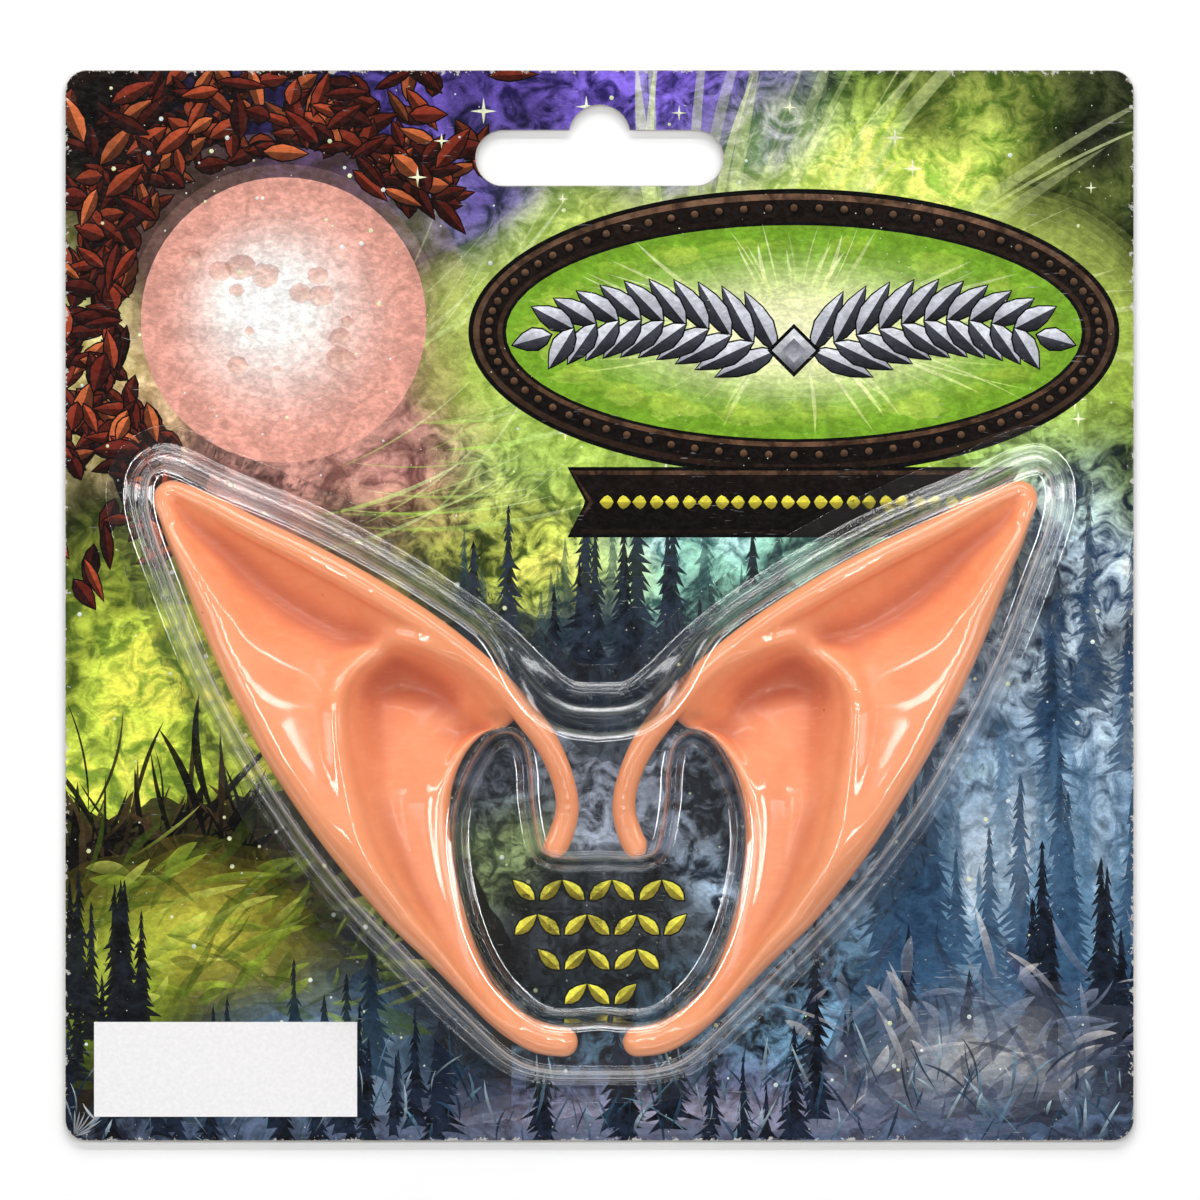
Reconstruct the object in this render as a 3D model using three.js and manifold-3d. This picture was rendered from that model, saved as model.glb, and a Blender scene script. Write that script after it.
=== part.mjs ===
// A pair of pointed latex ear tips, held on a printed card by one clear thermoformed blister.
// The card lies on its back: +Z points out of the printed face, +Y towards the hang slot.
// Lengths are in millimetres. The origin is the middle of the card's back.
import * as THREE from 'three';
import { mergeVertices } from 'three/addons/utils/BufferGeometryUtils.js';
import Module from 'manifold-3d';

const wasm = await Module();
wasm.setup();

// Card, with its border beside the blister
const cardBorder = 10.5;
const cardHeight = 176.3;
const cardThickness = 0.5;
const cardCorner = 3.6;

// Hang slot, a long slot with a round notch in its upper edge
const slotLength = 40.7;
const slotWidth = 9.05;
const slotFromTop = 14.5;
const notchRadius = 5;
const notchRise = 3.7;

// Blank sticker in the lower left corner
const labelWidth = 43.3;
const labelHeight = 15.6;
const labelThickness = 0.12;
const labelFromLeft = 4.8;
const labelFromBottom = 4;

// Ear, seen from the front: its box, its greatest depth and its latex wall
const earReach = 70.3;
const earRise = 94.75;
const earDepth = 17;
const latexWall = 1.3;
const restClearance = 0.3;

// Place of the ears: how far each hook stays from the card's middle, and how low the lobes hang.
// The right ear swings outwards a little between two heights, given in shares of its rise.
const leftHookFromMiddle = 3.3;
const rightHookFromMiddle = 2;
const lobeDrop = 74.2;
const rightLobeSwing = 1.6;
const swingStarts = 0.56;
const swingFull = 0.22;

// Rolled edges of the ear: half width and drop of the roll, and the lean of the side walls
const outerRoll = 3.6;
const outerRollDrop = 4.2;
const innerRoll = 2.4;
const innerRollDrop = 2.6;
const sideLean = 0.9;

// Limits that hold in a narrow section: the rolls' half widths in shares of the section, the inner
// roll's share that is left beside the hook's rim, and how much a steep wall may thicken
const widestOuterRollAtRim = 0.13;
const widestOuterRoll = 0.34;
const widestInnerRoll = 0.3;
const innerRollAtRim = 0.4;
const innerDropAtRim = 0.3;
const steepestThickening = 2.4;
const leastUnderside = 0.4;

// Relief inside the ear: the curved ridge and the bowl that it bounds
const ridgeHeight = 2.3;
const ridgeHalfWidth = 2.6;
const bowlDepth = 6;
const bowlWall = 7.4;
const bowlMargin = 3.5;

// Round members of the ear: the rim that ends as the free hook, and the rod that ends the lobe
const rimRadius = 2.2;
const lobeRadius = 2.6;

// Blister: its room round the ears, its flange on the card, its plastic and its recess's draft.
// Its shoulder starts at a share of the wall's draft, and its top is set in by a share of the round.
const roomBesideTips = 3.9;
const roomAboveTips = 5.35;
const roomBelowLobes = 3.9;
const roomOverEars = 3;
const flangeWidth = 3.8;
const plastic = 0.4;
const shoulderRound = 1.6;
const draftAtShoulder = 0.85;
const topSetIn = 0.8;
const recessDraft = 1.2;

// Sizes that follow from those above
const blisterWidth = 2 * (earReach + leftHookFromMiddle + roomBesideTips);
const blisterHeight = roomBelowLobes + earRise + roomAboveTips;
const blisterDepth = earDepth + roomOverEars;
const blisterDrop = lobeDrop + roomBelowLobes;
const cardWidth = blisterWidth + 2 * cardBorder;

// Facets
const facetsPerSection = 2;
const rollFacets = 3;
const frontFacets = 17;
const rimSteps = 32;
const lobeSteps = 12;
const tubeSides = 8;
const outlineSteps = 2;
const arcFacets = 5;

// Sections of the ear from tip to lobe: both ends in plan, as shares of the ear's reach and rise,
// measured from the outer lower corner of its box
const sectionEnds = [
  { outX: 0.008, outY: 0.957, inX: 0.060, inY: 0.981 },
  { outX: 0.032, outY: 0.900, inX: 0.139, inY: 0.956 },
  { outX: 0.064, outY: 0.843, inX: 0.275, inY: 0.903 },
  { outX: 0.095, outY: 0.784, inX: 0.416, inY: 0.850 },
  { outX: 0.123, outY: 0.733, inX: 0.580, inY: 0.779 },
  { outX: 0.146, outY: 0.693, inX: 0.708, inY: 0.712 },
  { outX: 0.170, outY: 0.655, inX: 0.807, inY: 0.650 },
  { outX: 0.193, outY: 0.619, inX: 0.861, inY: 0.608 },
  { outX: 0.217, outY: 0.586, inX: 0.833, inY: 0.574 },
  { outX: 0.256, outY: 0.528, inX: 0.776, inY: 0.560 },
  { outX: 0.310, outY: 0.464, inX: 0.727, inY: 0.516 },
  { outX: 0.381, outY: 0.387, inX: 0.699, inY: 0.445 },
  { outX: 0.463, outY: 0.309, inX: 0.704, inY: 0.349 },
  { outX: 0.556, outY: 0.229, inX: 0.732, inY: 0.254 },
  { outX: 0.650, outY: 0.162, inX: 0.762, inY: 0.184 },
  { outX: 0.732, outY: 0.100, inX: 0.797, inY: 0.129 },
  { outX: 0.795, outY: 0.053, inX: 0.837, inY: 0.096 },
  { outX: 0.865, outY: 0.017, inX: 0.872, inY: 0.076 },
];

// Heights of the same sections, as shares of the ear's depth: the outer crest, the valley floor
// and its place in shares of the section's own width, the inner edge, and the foot of the walls
const sectionHeights = [
  { crest: 0.37, floorAt: 0.54, floor: 0.33, inner: 0.38, base: 0.10 },
  { crest: 0.53, floorAt: 0.52, floor: 0.37, inner: 0.48, base: 0.03 },
  { crest: 0.66, floorAt: 0.52, floor: 0.38, inner: 0.60, base: 0 },
  { crest: 0.74, floorAt: 0.50, floor: 0.39, inner: 0.71, base: 0 },
  { crest: 0.80, floorAt: 0.54, floor: 0.44, inner: 0.79, base: 0 },
  { crest: 0.85, floorAt: 0.66, floor: 0.53, inner: 0.82, base: 0 },
  { crest: 0.89, floorAt: 0.71, floor: 0.60, inner: 0.81, base: 0 },
  { crest: 0.92, floorAt: 0.68, floor: 0.65, inner: 0.79, base: 0 },
  { crest: 0.94, floorAt: 0.66, floor: 0.66, inner: 0.62, base: 0 },
  { crest: 0.97, floorAt: 0.64, floor: 0.66, inner: 0.58, base: 0 },
  { crest: 0.99, floorAt: 0.62, floor: 0.66, inner: 0.57, base: 0 },
  { crest: 1.00, floorAt: 0.60, floor: 0.66, inner: 0.58, base: 0 },
  { crest: 0.97, floorAt: 0.60, floor: 0.65, inner: 0.59, base: 0 },
  { crest: 0.90, floorAt: 0.60, floor: 0.62, inner: 0.58, base: 0 },
  { crest: 0.80, floorAt: 0.58, floor: 0.59, inner: 0.56, base: 0 },
  { crest: 0.68, floorAt: 0.55, floor: 0.51, inner: 0.53, base: 0.03 },
  { crest: 0.57, floorAt: 0.55, floor: 0.49, inner: 0.50, base: 0.11 },
  { crest: 0.48, floorAt: 0.50, floor: 0.46, inner: 0.46, base: 0.20 },
];
const sectionAtHook = 7;

// Middle line of the rim roll: round the tip, along the upper edge and on as the free hook.
// Its thickness is a share of the rim's radius.
const rimLine = [
  { x: 0.074, y: 0.869, z: 0.44, thick: 0.62 },
  { x: 0.046, y: 0.926, z: 0.38, thick: 0.70 },
  { x: 0.027, y: 0.964, z: 0.33, thick: 0.74 },
  { x: 0.036, y: 0.981, z: 0.31, thick: 0.74 },
  { x: 0.064, y: 0.980, z: 0.32, thick: 0.76 },
  { x: 0.139, y: 0.956, z: 0.42, thick: 0.83 },
  { x: 0.228, y: 0.920, z: 0.53, thick: 0.92 },
  { x: 0.369, y: 0.868, z: 0.66, thick: 1.00 },
  { x: 0.509, y: 0.811, z: 0.73, thick: 1.02 },
  { x: 0.650, y: 0.745, z: 0.76, thick: 1.00 },
  { x: 0.767, y: 0.678, z: 0.76, thick: 0.94 },
  { x: 0.847, y: 0.620, z: 0.74, thick: 0.94 },
  { x: 0.882, y: 0.589, z: 0.73, thick: 0.97 },
  { x: 0.919, y: 0.551, z: 0.70, thick: 0.93 },
  { x: 0.948, y: 0.509, z: 0.66, thick: 0.87 },
  { x: 0.968, y: 0.462, z: 0.60, thick: 0.86 },
  { x: 0.971, y: 0.424, z: 0.55, thick: 0.88 },
  { x: 0.957, y: 0.386, z: 0.51, thick: 0.93 },
  { x: 0.945, y: 0.367, z: 0.49, thick: 0.93 },
];

// Middle line of the lobe's rod
const lobeLine = [
  { x: 0.762, y: 0.118, z: 0.40, thick: 0.88 },
  { x: 0.814, y: 0.077, z: 0.37, thick: 0.95 },
  { x: 0.861, y: 0.050, z: 0.34, thick: 0.96 },
  { x: 0.910, y: 0.033, z: 0.32, thick: 1.00 },
  { x: 0.962, y: 0.026, z: 0.31, thick: 0.95 },
];

// Crest of the ridge inside the ear, from under the hook's root, over the bowl and down its outer
// side, with the ridge's strength there
const ridgeLine = [
  { x: 0.861, y: 0.598, strength: 0 },
  { x: 0.790, y: 0.639, strength: 0 },
  { x: 0.725, y: 0.681, strength: 0.3 },
  { x: 0.660, y: 0.705, strength: 0.7 },
  { x: 0.580, y: 0.716, strength: 1 },
  { x: 0.521, y: 0.702, strength: 1 },
  { x: 0.474, y: 0.679, strength: 1 },
  { x: 0.443, y: 0.645, strength: 1 },
  { x: 0.434, y: 0.601, strength: 1 },
  { x: 0.443, y: 0.532, strength: 1 },
  { x: 0.467, y: 0.462, strength: 0.9 },
  { x: 0.505, y: 0.375, strength: 0.7 },
  { x: 0.551, y: 0.306, strength: 0.4 },
  { x: 0.591, y: 0.254, strength: 0 },
];
const bowlFullAt = 0.68;
const bowlGoneAt = 0.43;

// Left half of the blister's foot from the valley at the top to the middle of the bottom edge:
// shares of half its width and of its height, and the wall's draft in shares of half its width
const footLine = [
  { x: 0, y: 0.621, draft: 0.1032 },
  { x: 0.060, y: 0.625, draft: 0.0955 },
  { x: 0.117, y: 0.658, draft: 0.0826 },
  { x: 0.212, y: 0.725, draft: 0.0413 },
  { x: 0.340, y: 0.793, draft: 0.0387 },
  { x: 0.488, y: 0.858, draft: 0.0387 },
  { x: 0.637, y: 0.913, draft: 0.0387 },
  { x: 0.786, y: 0.959, draft: 0.0387 },
  { x: 0.880, y: 0.992, draft: 0.0387 },
  { x: 0.938, y: 0.998, draft: 0.0387 },
  { x: 0.985, y: 0.972, draft: 0.0387 },
  { x: 1.000, y: 0.925, draft: 0.0387 },
  { x: 0.985, y: 0.866, draft: 0.0361 },
  { x: 0.943, y: 0.779, draft: 0.0361 },
  { x: 0.885, y: 0.669, draft: 0.0348 },
  { x: 0.803, y: 0.543, draft: 0.0348 },
  { x: 0.699, y: 0.413, draft: 0.0335 },
  { x: 0.571, y: 0.285, draft: 0.0335 },
  { x: 0.422, y: 0.168, draft: 0.0335 },
  { x: 0.295, y: 0.076, draft: 0.0297 },
  { x: 0.200, y: 0.020, draft: 0.0232 },
  { x: 0.115, y: 0.002, draft: 0.0168 },
  { x: 0, y: 0, draft: 0.0155 },
];

// Left half of the recess between the ears, where the blister comes down to the card again, from
// the middle of its upper edge round the lobe inside the ear's notch to its lower edge: shares of
// the ear's reach from the card's middle and of the ear's rise
const recessLine = [
  { x: 0, y: 0.331 },
  { x: 0.075, y: 0.329 },
  { x: 0.120, y: 0.334 },
  { x: 0.152, y: 0.350 },
  { x: 0.168, y: 0.386 },
  { x: 0.180, y: 0.445 },
  { x: 0.184, y: 0.497 },
  { x: 0.196, y: 0.535 },
  { x: 0.220, y: 0.546 },
  { x: 0.249, y: 0.534 },
  { x: 0.277, y: 0.502 },
  { x: 0.301, y: 0.460 },
  { x: 0.316, y: 0.412 },
  { x: 0.316, y: 0.350 },
  { x: 0.297, y: 0.271 },
  { x: 0.269, y: 0.205 },
  { x: 0.231, y: 0.151 },
  { x: 0.185, y: 0.111 },
  { x: 0.134, y: 0.082 },
  { x: 0.080, y: 0.074 },
  { x: 0, y: 0.078 },
];

// Materials
const printedCard = new THREE.MeshStandardMaterial({ color: 0x39404a, roughness: 0.45, metalness: 0 });
const whitePaper = new THREE.MeshStandardMaterial({ color: 0xf2f1ee, roughness: 0.6, metalness: 0 });
const latex = new THREE.MeshStandardMaterial({ color: 0xfba67c, roughness: 0.42, metalness: 0 });
const clearPlastic = new THREE.MeshStandardMaterial({
  color: 0xf4f7fa,
  roughness: 0.08,
  metalness: 0,
  transparent: true,
  opacity: 0.3,
});

// Smooth value of one named column of a table at a place counted in rows
function column(table, name, place) {
  const row = Math.min(Math.floor(place), table.length - 2);
  const f = place - row;
  const b = table[row][name];
  const c = table[row + 1][name];
  const a = row > 0 ? table[row - 1][name] : 2 * b - c;
  const d = row + 2 < table.length ? table[row + 2][name] : 2 * c - b;
  return b + 0.5 * f * (c - a + f * (2 * a - 5 * b + 4 * c - d + f * (3 * (b - c) + d - a)));
}

// Eased step from 0 to 1
function ease(value) {
  const x = Math.min(1, Math.max(0, value));
  return x * x * (3 - 2 * x);
}

function mix(a, b, share) {
  return a + (b - a) * share;
}

// Geometry from corner points and triangles, turned so that its faces point out
function bodyFrom(points, triangles) {
  let volume = 0;
  for (const [a, b, c] of triangles) {
    volume += points[a].dot(new THREE.Vector3().crossVectors(points[b], points[c]));
  }
  const order = volume < 0 ? [0, 2, 1] : [0, 1, 2];
  const geometry = new THREE.BufferGeometry();
  const positions = points.flatMap((point) => [point.x, point.y, point.z]);
  geometry.setAttribute('position', new THREE.Float32BufferAttribute(positions, 3));
  geometry.setIndex(triangles.flatMap((triangle) => order.map((corner) => triangle[corner])));
  return geometry;
}

// Triangles between two rings of equal length that start at the given points. Each facet is split
// along its shorter diagonal.
function band(points, first, second, count) {
  const triangles = [];
  for (let i = 0; i < count; i += 1) {
    const next = (i + 1) % count;
    const [a, b, c, d] = [first + i, first + next, second + next, second + i];
    if (points[a].distanceTo(points[c]) <= points[b].distanceTo(points[d])) {
      triangles.push([a, b, c], [a, c, d]);
    } else {
      triangles.push([a, b, d], [b, c, d]);
    }
  }
  return triangles;
}

// Solid of the boolean library from a geometry, and a geometry from such a solid
function toSolid(geometry) {
  const bare = geometry.clone();
  bare.deleteAttribute('normal');
  bare.deleteAttribute('uv');
  const merged = mergeVertices(bare, 1e-4);
  const mesh = new wasm.Mesh({
    numProp: 3,
    vertProperties: Float32Array.from(merged.attributes.position.array),
    triVerts: Uint32Array.from(merged.index.array),
  });
  return new wasm.Manifold(mesh);
}

function toGeometry(solid) {
  const mesh = solid.getMesh();
  const geometry = new THREE.BufferGeometry();
  geometry.setAttribute('position', new THREE.BufferAttribute(Float32Array.from(mesh.vertProperties), 3));
  geometry.setIndex(new THREE.BufferAttribute(Uint32Array.from(mesh.triVerts), 1));
  geometry.computeVertexNormals();
  return geometry;
}

// Round rod along a middle line given in shares of the ear's box, with domed ends
function rodAlong(line, radius, steps) {
  const path = new THREE.CatmullRomCurve3(
    line.map((row) => new THREE.Vector3(row.x * earReach, row.y * earRise, row.z * earDepth)),
  );
  const frames = path.computeFrenetFrames(steps, false);
  const points = [];
  const triangles = [];
  const addRing = (centre, across, up, size) => {
    for (let i = 0; i < tubeSides; i += 1) {
      const turn = (2 * Math.PI * i) / tubeSides;
      points.push(
        centre
          .clone()
          .addScaledVector(across, size * Math.cos(turn))
          .addScaledVector(up, size * Math.sin(turn)),
      );
    }
  };
  const dome = [
    { out: 0.87, wide: 0.5 },
    { out: 0.5, wide: 0.87 },
  ];
  const sizeAt = (step) => {
    const row = path.getUtoTmapping(step / steps) * (line.length - 1);
    return radius * column(line, 'thick', row);
  };
  const start = path.getPointAt(0);
  const end = path.getPointAt(1);
  const startSize = sizeAt(0);
  const endSize = sizeAt(steps);
  points.push(start.clone().addScaledVector(frames.tangents[0], -startSize));
  for (const ring of dome) {
    const centre = start.clone().addScaledVector(frames.tangents[0], -startSize * ring.out);
    addRing(centre, frames.normals[0], frames.binormals[0], startSize * ring.wide);
  }
  for (let step = 0; step <= steps; step += 1) {
    addRing(path.getPointAt(step / steps), frames.normals[step], frames.binormals[step], sizeAt(step));
  }
  for (const ring of [...dome].reverse()) {
    const centre = end.clone().addScaledVector(frames.tangents[steps], endSize * ring.out);
    addRing(centre, frames.normals[steps], frames.binormals[steps], endSize * ring.wide);
  }
  points.push(end.clone().addScaledVector(frames.tangents[steps], endSize));
  const rings = (points.length - 2) / tubeSides;
  for (let ring = 0; ring < rings - 1; ring += 1) {
    triangles.push(...band(points, 1 + ring * tubeSides, 1 + (ring + 1) * tubeSides, tubeSides));
  }
  const lastRing = 1 + (rings - 1) * tubeSides;
  for (let i = 0; i < tubeSides; i += 1) {
    const next = (i + 1) % tubeSides;
    triangles.push([0, 1 + next, 1 + i]);
    triangles.push([points.length - 1, lastRing + i, lastRing + next]);
  }
  return bodyFrom(points, triangles);
}

// Ridge crest as a fine chain of points with its strength
const ridgeChain = (() => {
  const chain = [];
  const finePerRow = 5;
  const last = (ridgeLine.length - 1) * finePerRow;
  for (let i = 0; i <= last; i += 1) {
    const place = i / finePerRow;
    chain.push({
      x: column(ridgeLine, 'x', place) * earReach,
      y: column(ridgeLine, 'y', place) * earRise,
      strength: Math.max(0, column(ridgeLine, 'strength', place)),
    });
  }
  return chain;
})();

// Distance of a plan point from the ridge crest, positive on the bowl's side, with its strength
function fromRidge(x, y) {
  let best = { distance: Infinity, side: 1, strength: 0 };
  for (let i = 0; i < ridgeChain.length - 1; i += 1) {
    const a = ridgeChain[i];
    const b = ridgeChain[i + 1];
    const alongX = b.x - a.x;
    const alongY = b.y - a.y;
    const share = ((x - a.x) * alongX + (y - a.y) * alongY) / (alongX * alongX + alongY * alongY);
    const f = Math.min(1, Math.max(0, share));
    const distance = Math.hypot(x - a.x - f * alongX, y - a.y - f * alongY);
    if (distance < best.distance) {
      const side = alongX * (y - a.y) - alongY * (x - a.x) > 0 ? 1 : -1;
      best = { distance, side, strength: mix(a.strength, b.strength, f) };
    }
  }
  return { signed: best.distance * best.side, strength: best.strength };
}

// One section of the ear: its two ends in plan, its width and its heights
function sectionAt(place) {
  const outer = new THREE.Vector2(
    column(sectionEnds, 'outX', place) * earReach,
    column(sectionEnds, 'outY', place) * earRise,
  );
  const inner = new THREE.Vector2(
    column(sectionEnds, 'inX', place) * earReach,
    column(sectionEnds, 'inY', place) * earRise,
  );
  const width = outer.distanceTo(inner);
  const pastHook = ease(place - sectionAtHook);
  return {
    outer,
    inner,
    width,
    outerRoll: Math.min(outerRoll, width * mix(widestOuterRollAtRim, widestOuterRoll, pastHook)),
    innerRoll: Math.min(mix(innerRollAtRim, 1, pastHook) * innerRoll, width * widestInnerRoll),
    outerDrop: Math.min(outerRollDrop, column(sectionHeights, 'crest', place) * earDepth * 0.5),
    innerDrop: mix(innerDropAtRim, 1, pastHook) * innerRollDrop,
    crest: column(sectionHeights, 'crest', place) * earDepth,
    floorAt: column(sectionHeights, 'floorAt', place),
    floor: column(sectionHeights, 'floor', place) * earDepth,
    innerCrest: column(sectionHeights, 'inner', place) * earDepth,
    base: Math.max(0, column(sectionHeights, 'base', place)) * earDepth,
  };
}

// Drop of a rolled edge, in shares of its full drop, at a share of the way over its quarter round
function rollDrop(over) {
  return 1 - Math.sqrt(Math.max(0, 1 - over ** 2));
}

// Height of the ear's front at a share of a section's width
function frontHeight(section, share) {
  const outerEnd = section.outerRoll / section.width;
  const innerEnd = 1 - section.innerRoll / section.width;
  let height = section.crest;
  if (share > section.floorAt) {
    const up = (share - section.floorAt) / (innerEnd - section.floorAt);
    height = mix(section.floor, section.innerCrest, ease(up));
  } else if (share > outerEnd) {
    const down = (share - outerEnd) / (section.floorAt - outerEnd);
    height = mix(section.crest, section.floor, ease(down));
  }
  const x = mix(section.outer.x, section.inner.x, share);
  const y = mix(section.outer.y, section.inner.y, share);
  const ridge = fromRidge(x, y);
  height += ridgeHeight * ridge.strength * Math.exp(-((ridge.signed / ridgeHalfWidth) ** 2));
  const margin = Math.min(share, 1 - share) * section.width;
  const fade = ease((y / earRise - bowlGoneAt) / (bowlFullAt - bowlGoneAt));
  height -= bowlDepth * fade * ease(ridge.signed / bowlWall) * ease(margin / bowlMargin);
  if (share < outerEnd) {
    height -= section.outerDrop * rollDrop(1 - share / outerEnd);
  }
  if (share > innerEnd) {
    height -= section.innerDrop * rollDrop((share - innerEnd) / (1 - innerEnd));
  }
  return height;
}

// Shares of a section's width where its front is drawn: close together on the rolls
function frontShares(section) {
  const outerEnd = section.outerRoll / section.width;
  const innerEnd = 1 - section.innerRoll / section.width;
  const shares = [];
  for (let i = 0; i < rollFacets; i += 1) {
    shares.push(outerEnd * (1 - Math.cos((Math.PI / 2) * (i / rollFacets))));
  }
  for (let i = 0; i <= frontFacets; i += 1) {
    shares.push(mix(outerEnd, innerEnd, i / frontFacets));
  }
  for (let i = rollFacets - 1; i >= 0; i -= 1) {
    shares.push(1 - (1 - innerEnd) * (1 - Math.cos((Math.PI / 2) * (i / rollFacets))));
  }
  return shares;
}

// Closed outline of one section, in distances across it and heights: the front and the two side
// walls outside, then the same wall thickness further in
function sectionOutline(section) {
  const { width } = section;
  const outline = [{ across: sideLean, height: section.base }];
  const shares = frontShares(section);
  for (const share of shares) {
    outline.push({ across: share * width, height: frontHeight(section, share) });
  }
  outline.push({ across: width - sideLean, height: section.base });
  const wall = Math.min(latexWall, (width - 2 * sideLean) * 0.3);
  outline.push({ across: width - sideLean - wall, height: section.base });
  const nearest = wall / width;
  const slopeReach = 0.01;
  const underShares = shares.filter((share, index) => index % 2 === 1 || index === shares.length - 1);
  for (const share of underShares.reverse()) {
    const inside = mix(nearest, 1 - nearest, share);
    const before = frontHeight(section, Math.max(0, inside - slopeReach));
    const after = frontHeight(section, Math.min(1, inside + slopeReach));
    const slope = (after - before) / (2 * slopeReach * width);
    const drop = Math.min(steepestThickening, Math.hypot(1, slope)) * wall;
    const height = Math.max(section.base + leastUnderside, frontHeight(section, inside) - drop);
    outline.push({ across: inside * width, height });
  }
  outline.push({ across: sideLean + wall, height: section.base });
  return outline;
}

// Latex skin of the ear, lofted through its sections, open towards the card
function earSkin() {
  const places = [];
  for (let step = 0; step <= (sectionEnds.length - 1) * facetsPerSection; step += 1) {
    places.push(step / facetsPerSection);
  }
  const points = [];
  const triangles = [];
  const outlines = [];
  for (const place of places) {
    const section = sectionAt(place);
    const outline = sectionOutline(section);
    const direction = section.inner.clone().sub(section.outer).normalize();
    for (const corner of outline) {
      const spot = section.outer.clone().addScaledVector(direction, corner.across);
      points.push(new THREE.Vector3(spot.x, spot.y, corner.height));
    }
    outlines.push(outline);
  }
  const count = outlines[0].length;
  for (let i = 0; i < outlines.length - 1; i += 1) {
    triangles.push(...band(points, i * count, (i + 1) * count, count));
  }
  const flat = (outline) => outline.map((corner) => new THREE.Vector2(corner.across, corner.height));
  const lastStart = (outlines.length - 1) * count;
  for (const face of THREE.ShapeUtils.triangulateShape(flat(outlines[0]), [])) {
    triangles.push(orientCap(face, outlines[0], true));
  }
  for (const face of THREE.ShapeUtils.triangulateShape(flat(outlines[outlines.length - 1]), [])) {
    const turned = orientCap(face, outlines[outlines.length - 1], false);
    triangles.push(turned.map((corner) => corner + lastStart));
  }
  return bodyFrom(points, triangles);
}

// Corners of a cap's triangle in the order that matches the loft beside it
function orientCap(face, outline, first) {
  const [a, b, c] = face.map((corner) => outline[corner]);
  const area = (b.across - a.across) * (c.height - a.height) - (c.across - a.across) * (b.height - a.height);
  const clockwise = area < 0;
  return clockwise === first ? [face[0], face[2], face[1]] : face;
}

// One ear in its own box: skin, rim with hook, and lobe
function earGeometry(swing) {
  const skin = swingLobe(earSkin(), swing);
  const rim = rodAlong(rimLine, rimRadius, rimSteps);
  const lobe = swingLobe(rodAlong(lobeLine, lobeRadius, lobeSteps), swing);
  return toGeometry(toSolid(skin).add(toSolid(rim)).add(toSolid(lobe)));
}

// Moves the lower part of an ear's skin or lobe outwards
function swingLobe(geometry, swing) {
  const position = geometry.attributes.position;
  for (let i = 0; i < position.count; i += 1) {
    const share = ease((swingStarts - position.getY(i) / earRise) / (swingStarts - swingFull));
    position.setX(i, position.getX(i) - swing * share);
  }
  return geometry;
}

// Ear in its place on the card, seen from the front at the left or mirrored to the right
function placedEar(name, side, hookFromMiddle, swing) {
  const geometry = earGeometry(swing);
  if (side > 0) {
    geometry.scale(-1, 1, 1);
    const index = geometry.index.array;
    for (let i = 0; i < index.length; i += 3) {
      [index[i], index[i + 1]] = [index[i + 1], index[i]];
    }
    geometry.computeVertexNormals();
  }
  const mesh = new THREE.Mesh(geometry, latex);
  mesh.name = name;
  mesh.position.set(side * (earReach + hookFromMiddle), -lobeDrop, cardThickness + restClearance);
  return mesh;
}

// Card with rounded corners and the hang slot
function backingCard() {
  const shape = new THREE.Shape();
  const x = cardWidth / 2;
  const y = cardHeight / 2;
  shape.absarc(x - cardCorner, y - cardCorner, cardCorner, 0, Math.PI / 2);
  shape.absarc(-x + cardCorner, y - cardCorner, cardCorner, Math.PI / 2, Math.PI);
  shape.absarc(-x + cardCorner, -y + cardCorner, cardCorner, Math.PI, 1.5 * Math.PI);
  shape.absarc(x - cardCorner, -y + cardCorner, cardCorner, 1.5 * Math.PI, 2 * Math.PI);
  const slot = new THREE.Path();
  const middle = y - slotFromTop;
  const end = slotLength / 2 - slotWidth / 2;
  const half = slotWidth / 2;
  const notchHalf = Math.sqrt(notchRadius ** 2 - (half - notchRise) ** 2);
  const notchAngle = Math.asin((half - notchRise) / notchRadius);
  slot.moveTo(notchHalf, middle + half);
  slot.absarc(0, middle + notchRise, notchRadius, notchAngle, Math.PI - notchAngle);
  slot.absarc(-end, middle, half, Math.PI / 2, 1.5 * Math.PI);
  slot.absarc(end, middle, half, -Math.PI / 2, Math.PI / 2);
  slot.lineTo(notchHalf, middle + half);
  shape.holes.push(slot);
  const geometry = new THREE.ExtrudeGeometry(shape, {
    depth: cardThickness,
    bevelEnabled: false,
    curveSegments: arcFacets,
  });
  const mesh = new THREE.Mesh(geometry, printedCard);
  mesh.name = 'backing_card';
  return mesh;
}

// Blank sticker that lies on the card
function blankLabel() {
  const mesh = new THREE.Mesh(new THREE.BoxGeometry(labelWidth, labelHeight, labelThickness), whitePaper);
  mesh.name = 'label';
  mesh.position.set(
    -cardWidth / 2 + labelFromLeft + labelWidth / 2,
    -cardHeight / 2 + labelFromBottom + labelHeight / 2,
    cardThickness + labelThickness / 2,
  );
  return mesh;
}

// Closed line that is mirrored about the card's middle, from its left half, with the wall's draft
// and the direction that points out of the line at each point
function mirroredLine(half, scaleX, scaleY, draftAt) {
  const line = [];
  const last = (half.length - 1) * outlineSteps;
  for (let i = 0; i <= last; i += 1) {
    const place = i / outlineSteps;
    line.push({
      x: -column(half, 'x', place) * scaleX,
      y: column(half, 'y', place) * scaleY,
      draft: draftAt(place),
    });
  }
  line[0].x = 0;
  line[last].x = 0;
  for (let i = last - 1; i > 0; i -= 1) {
    line.push({ x: -line[i].x, y: line[i].y, draft: line[i].draft });
  }
  return line.map((point, index) => {
    const before = line[(index + line.length - 1) % line.length];
    const after = line[(index + 1) % line.length];
    const length = Math.hypot(after.x - before.x, after.y - before.y);
    return { ...point, outX: (after.y - before.y) / length, outY: (before.x - after.x) / length };
  });
}

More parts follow.
